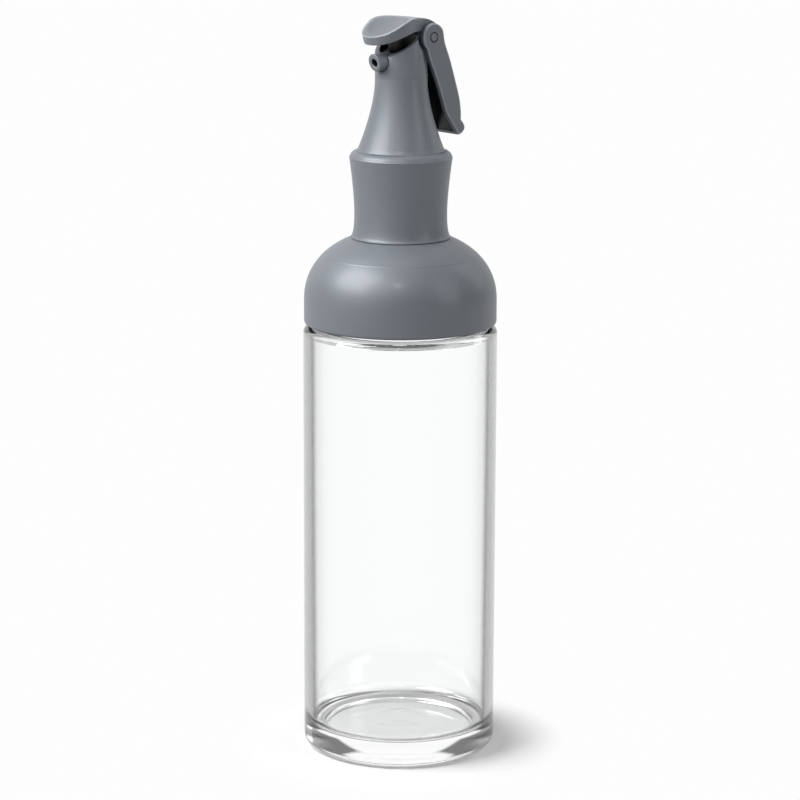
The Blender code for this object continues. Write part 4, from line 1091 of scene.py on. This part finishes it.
def makeSqueezeArm(size):
    def trace(name, steps):
        return [byPin(0, y * mm, z * mm)[1:] for y, z in throughPoints(size[name], steps)]

    back = trace("back", 8)
    outline = pinBow(size["ear"], *size["earArc"], 48)
    outline += back[1:] + trace("lip", 6)[1:] + trace("front", 6)[1:-1]
    arm = slabPiece("squeezeArm", outline, -size["half"], size["half"])
    easeAll(arm, size)
    inner = size["half"] - size["wall"]
    wall = [(y - size["wall"], z) for y, z in back]
    front, top = byPin(0, -20 * mm, 20 * mm)[1:]
    bottom = stack["pinZ"] - size["channelEnd"]
    toe = wall[-1][0] + size["channelToe"]
    channel = [(front, top), (wall[0][0], top), *wall, (toe, bottom), (front, bottom)]
    shapeWith(arm, slabPiece("channelTool", channel, -inner, inner))
    near = inner - size["play"]
    shapeWith(arm, pinRod("hoodTool", -near, near, size["hoodRoom"], 96))
    pegAt = roundPin(*size["pegPlace"])
    for way in (-1, 1):
        start, end = (way * edge for edge in size["pegReach"])
        shapeWith(arm, rodPiece("pegTool", (start, *pegAt), (end, *pegAt), size["peg"], 32), "UNION")
    shapeWith(arm, pinRod("holeTool", -14 * mm, 14 * mm, size["pinHole"]))
    shadeSmooth(arm, 32)
    # painted shade inside the lever's channel
    markPaintedShade(arm, lambda place, normal: abs(place.x) < inner + size["play"] and place.z > bottom + 0.1 * mm
               and (normal.y < -0.2 or normal.x * place.x < -0.9 * abs(place.x)))
    # a painted highlight along the edges of both sides
    edge = [(y, z) for start, end in zip(outline, outline[1:] + outline[:1])
            for y, z in zip(evenly(start[0], end[0], 4), evenly(start[1], end[1], 4))]
    markPaintedHighlight(arm, [(side * size["half"], y, z) for side in (-1, 1) for y, z in edge], size["paintedHighlight"])
    seat(arm, greyPlastic, "squeeze_lever", "lever")


makeSqueezeArm(squeezeArm)
print("lever made")

hingeRivet = {"radius": 1.5 * mm, "half": 7.0 * mm, "edgeRound": 0.3 * mm}


def makeHingeRivet(size):
    rivet = pinRod("hingeRivet", -size["half"], size["half"], size["radius"])
    softenEdges(rivet, size["edgeRound"], 4, 60)
    shadeSmooth(rivet)
    seat(rivet, greyPlastic, "hinge_pin", "cap")


makeHingeRivet(hingeRivet)
print("rivet made")

# the pieces that keep their solids
for node, material in (("bottle_gasket", plastics["gasketRubber"]), ("cap_liner", plastics["linerPlastic"]),
                       ("chimney_seal", plastics["blackRubber"]), ("vent_tube", plastics["linerPlastic"]),
                       ("torsion_spring", springSteel)):
    dress(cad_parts[node], material)
print("hidden pieces dressed")

studioFloor = {
    "radius": 6,
    "shade": 0.70,           # how pale it is to the eye
    "bounce": 0.32,          # and how much light it throws back up
    "white": 0.985,
    "shadow": (34 * mm, 64 * mm),        # the ring where it takes the bottle's shadow
    "shadowGlow": 0.1,
    "paintedBaseLight": (27 * mm, 34 * mm),     # painted light: the floor glows under the clear base, for the light that comes through it
    "paintedBaseLightGlow": 0.75,
}


def grey(value):
    return value, value, value, 1


def makeFloor(look):
    deselectAll()
    bpy.ops.mesh.primitive_circle_add(
        vertices=96, radius=look["radius"], fill_type="NGON", location=(0, 0, 0))
    floor = bpy.context.active_object
    floor.name = "studioFloor"
    material, tree, shader = makeMaterial("studioFloor")
    tree.nodes.remove(shader)
    rays = addNode(tree, "LightPath")
    seen = calculate(tree, "MAXIMUM", rays.outputs["Is Camera Ray"], rays.outputs["Is Glossy Ray"])
    seen = calculate(tree, "MAXIMUM", seen, rays.outputs["Is Transmission Ray"])
    shade = mixColours(tree, seen, grey(look["bounce"]), grey(look["shade"]))
    diffuse = addNode(tree, "BsdfDiffuse", {"Color": shade})
    glow = addNode(tree, "Emission", {"Color": grey(look["white"])})
    place = addNode(tree, "TexCoord").outputs["Object"]
    away = addNode(tree, "VectorMath", {0: place}, operation="LENGTH").outputs["Value"]
    beyond = easedStep(tree, away, *look["shadow"], look["shadowGlow"], 1.0)
    # painted light on the floor under the glass base
    under = easedStep(tree, away, *look["paintedBaseLight"], look["paintedBaseLightGlow"], 0.0)
    bright = calculate(tree, "MULTIPLY", seen, calculate(tree, "MAXIMUM", beyond, under))
    mix = addNode(tree, "MixShader", {"Fac": bright, 1: diffuse.outputs[0], 2: glow.outputs[0]})
    feed(tree, tree.nodes["Material Output"], {"Surface": mix.outputs[0]})
    dress(floor, material)


studioWorld = {
    "fill": 0.10,            # the room's own light on the object
    "white": 0.985,
    "behind": (-0.766, 0.643, 0),        # the way to the backdrop
    "panel": (0.35, 0.75),   # how nearly a gloss has to look that way to show it white
}


def makeWorld(look):
    world = bpy.data.worlds.new("studioWorld")
    bpy.context.scene.world = world
    world.use_nodes = True
    tree = world.node_tree
    tree.nodes.clear()
    fill = addNode(tree, "Background", {"Color": grey(1), "Strength": look["fill"]})
    white = addNode(tree, "Background", {"Color": grey(look["white"]), "Strength": 1.0})
    # white to the eye and through the glass; a gloss shows it only behind the bottle
    way = addNode(tree, "TexCoord").outputs["Generated"]
    behind = addNode(tree, "VectorMath", {0: way, 1: look["behind"]}, operation="DOT_PRODUCT")
    panel = easedStep(tree, behind.outputs["Value"], *look["panel"])
    rays = addNode(tree, "LightPath")
    seen = calculate(tree, "MAXIMUM", rays.outputs["Is Camera Ray"], rays.outputs["Is Transmission Ray"])
    seen = calculate(tree, "MAXIMUM", seen, calculate(tree, "MULTIPLY", rays.outputs["Is Glossy Ray"], panel))
    mix = addNode(tree, "MixShader", {"Fac": seen, 1: fill.outputs[0], 2: white.outputs[0]})
    addNode(tree, "OutputWorld", {"Surface": mix.outputs[0]})


# azimuth in degrees round from the nozzle, the rest in metres and watts
lamps = {
    "edgeBox": {"azimuth": 46, "height": 1.25, "away": 1.1, "size": (0.12, 0.12), "power": 3.4},
    "keyBox": {"azimuth": -20, "height": 0.95, "away": 0.85, "size": (0.9, 0.8), "power": 25.5},
    "fillBox": {"azimuth": 112, "height": 0.60, "away": 0.95, "size": (0.4, 0.8), "power": 2.7},
    "rimBox": {"azimuth": 165, "height": 0.70, "away": 0.95, "size": (0.3, 0.9), "power": 2.0},
    "topBox": {"azimuth": 230, "height": 1.3, "away": 0.2, "size": (0.5, 0.5), "power": 1.5},
}
lampAim = (0, 0, 0.15)


def placeInScene(name, data):
    holder = bpy.data.objects.new(name, data)
    bpy.context.scene.collection.objects.link(holder)
    return holder


def makeLamp(name, look):
    lamp = bpy.data.lights.new(name, "AREA")
    lamp.shape = "RECTANGLE"
    lamp.size, lamp.size_y = look["size"]
    lamp.energy = look["power"]
    holder = placeInScene(name, lamp)
    angle = math.radians(look["azimuth"])
    holder.location = (math.sin(angle) * look["away"], -math.cos(angle) * look["away"], look["height"])
    aim = Vector(lampAim) - holder.location
    holder.rotation_euler = aim.to_track_quat("-Z", "Y").to_euler()


# the photograph's own viewpoint
photoCamera = {
    "lens": 136.6,
    "sensor": 36,
    "place": (0.8235, -0.6910, 0.3653),
    "turns": (("Z", 50), ("X", 77.6), ("Z", 0.22)),    # degrees round, up and of roll
    "clip": (0.05, 50),
}


def makeCamera(look):
    camera = bpy.data.cameras.new("photoCamera")
    camera.lens = look["lens"]
    camera.sensor_width = look["sensor"]
    camera.clip_start, camera.clip_end = look["clip"]
    holder = placeInScene("photoCamera", camera)
    holder.location = look["place"]
    turn = Matrix()
    for axis, angle in look["turns"]:
        turn = turn @ Matrix.Rotation(math.radians(angle), 4, axis)
    holder.rotation_euler = turn.to_euler()
    bpy.context.scene.camera = holder


makeFloor(studioFloor)
makeWorld(studioWorld)
for lampName, lampLook in lamps.items():
    makeLamp(lampName, lampLook)
makeCamera(photoCamera)
bpy.context.scene.view_settings.view_transform = "Standard"
print("floor, light and camera set")

deselectAll()
bpy.context.view_layer.update()
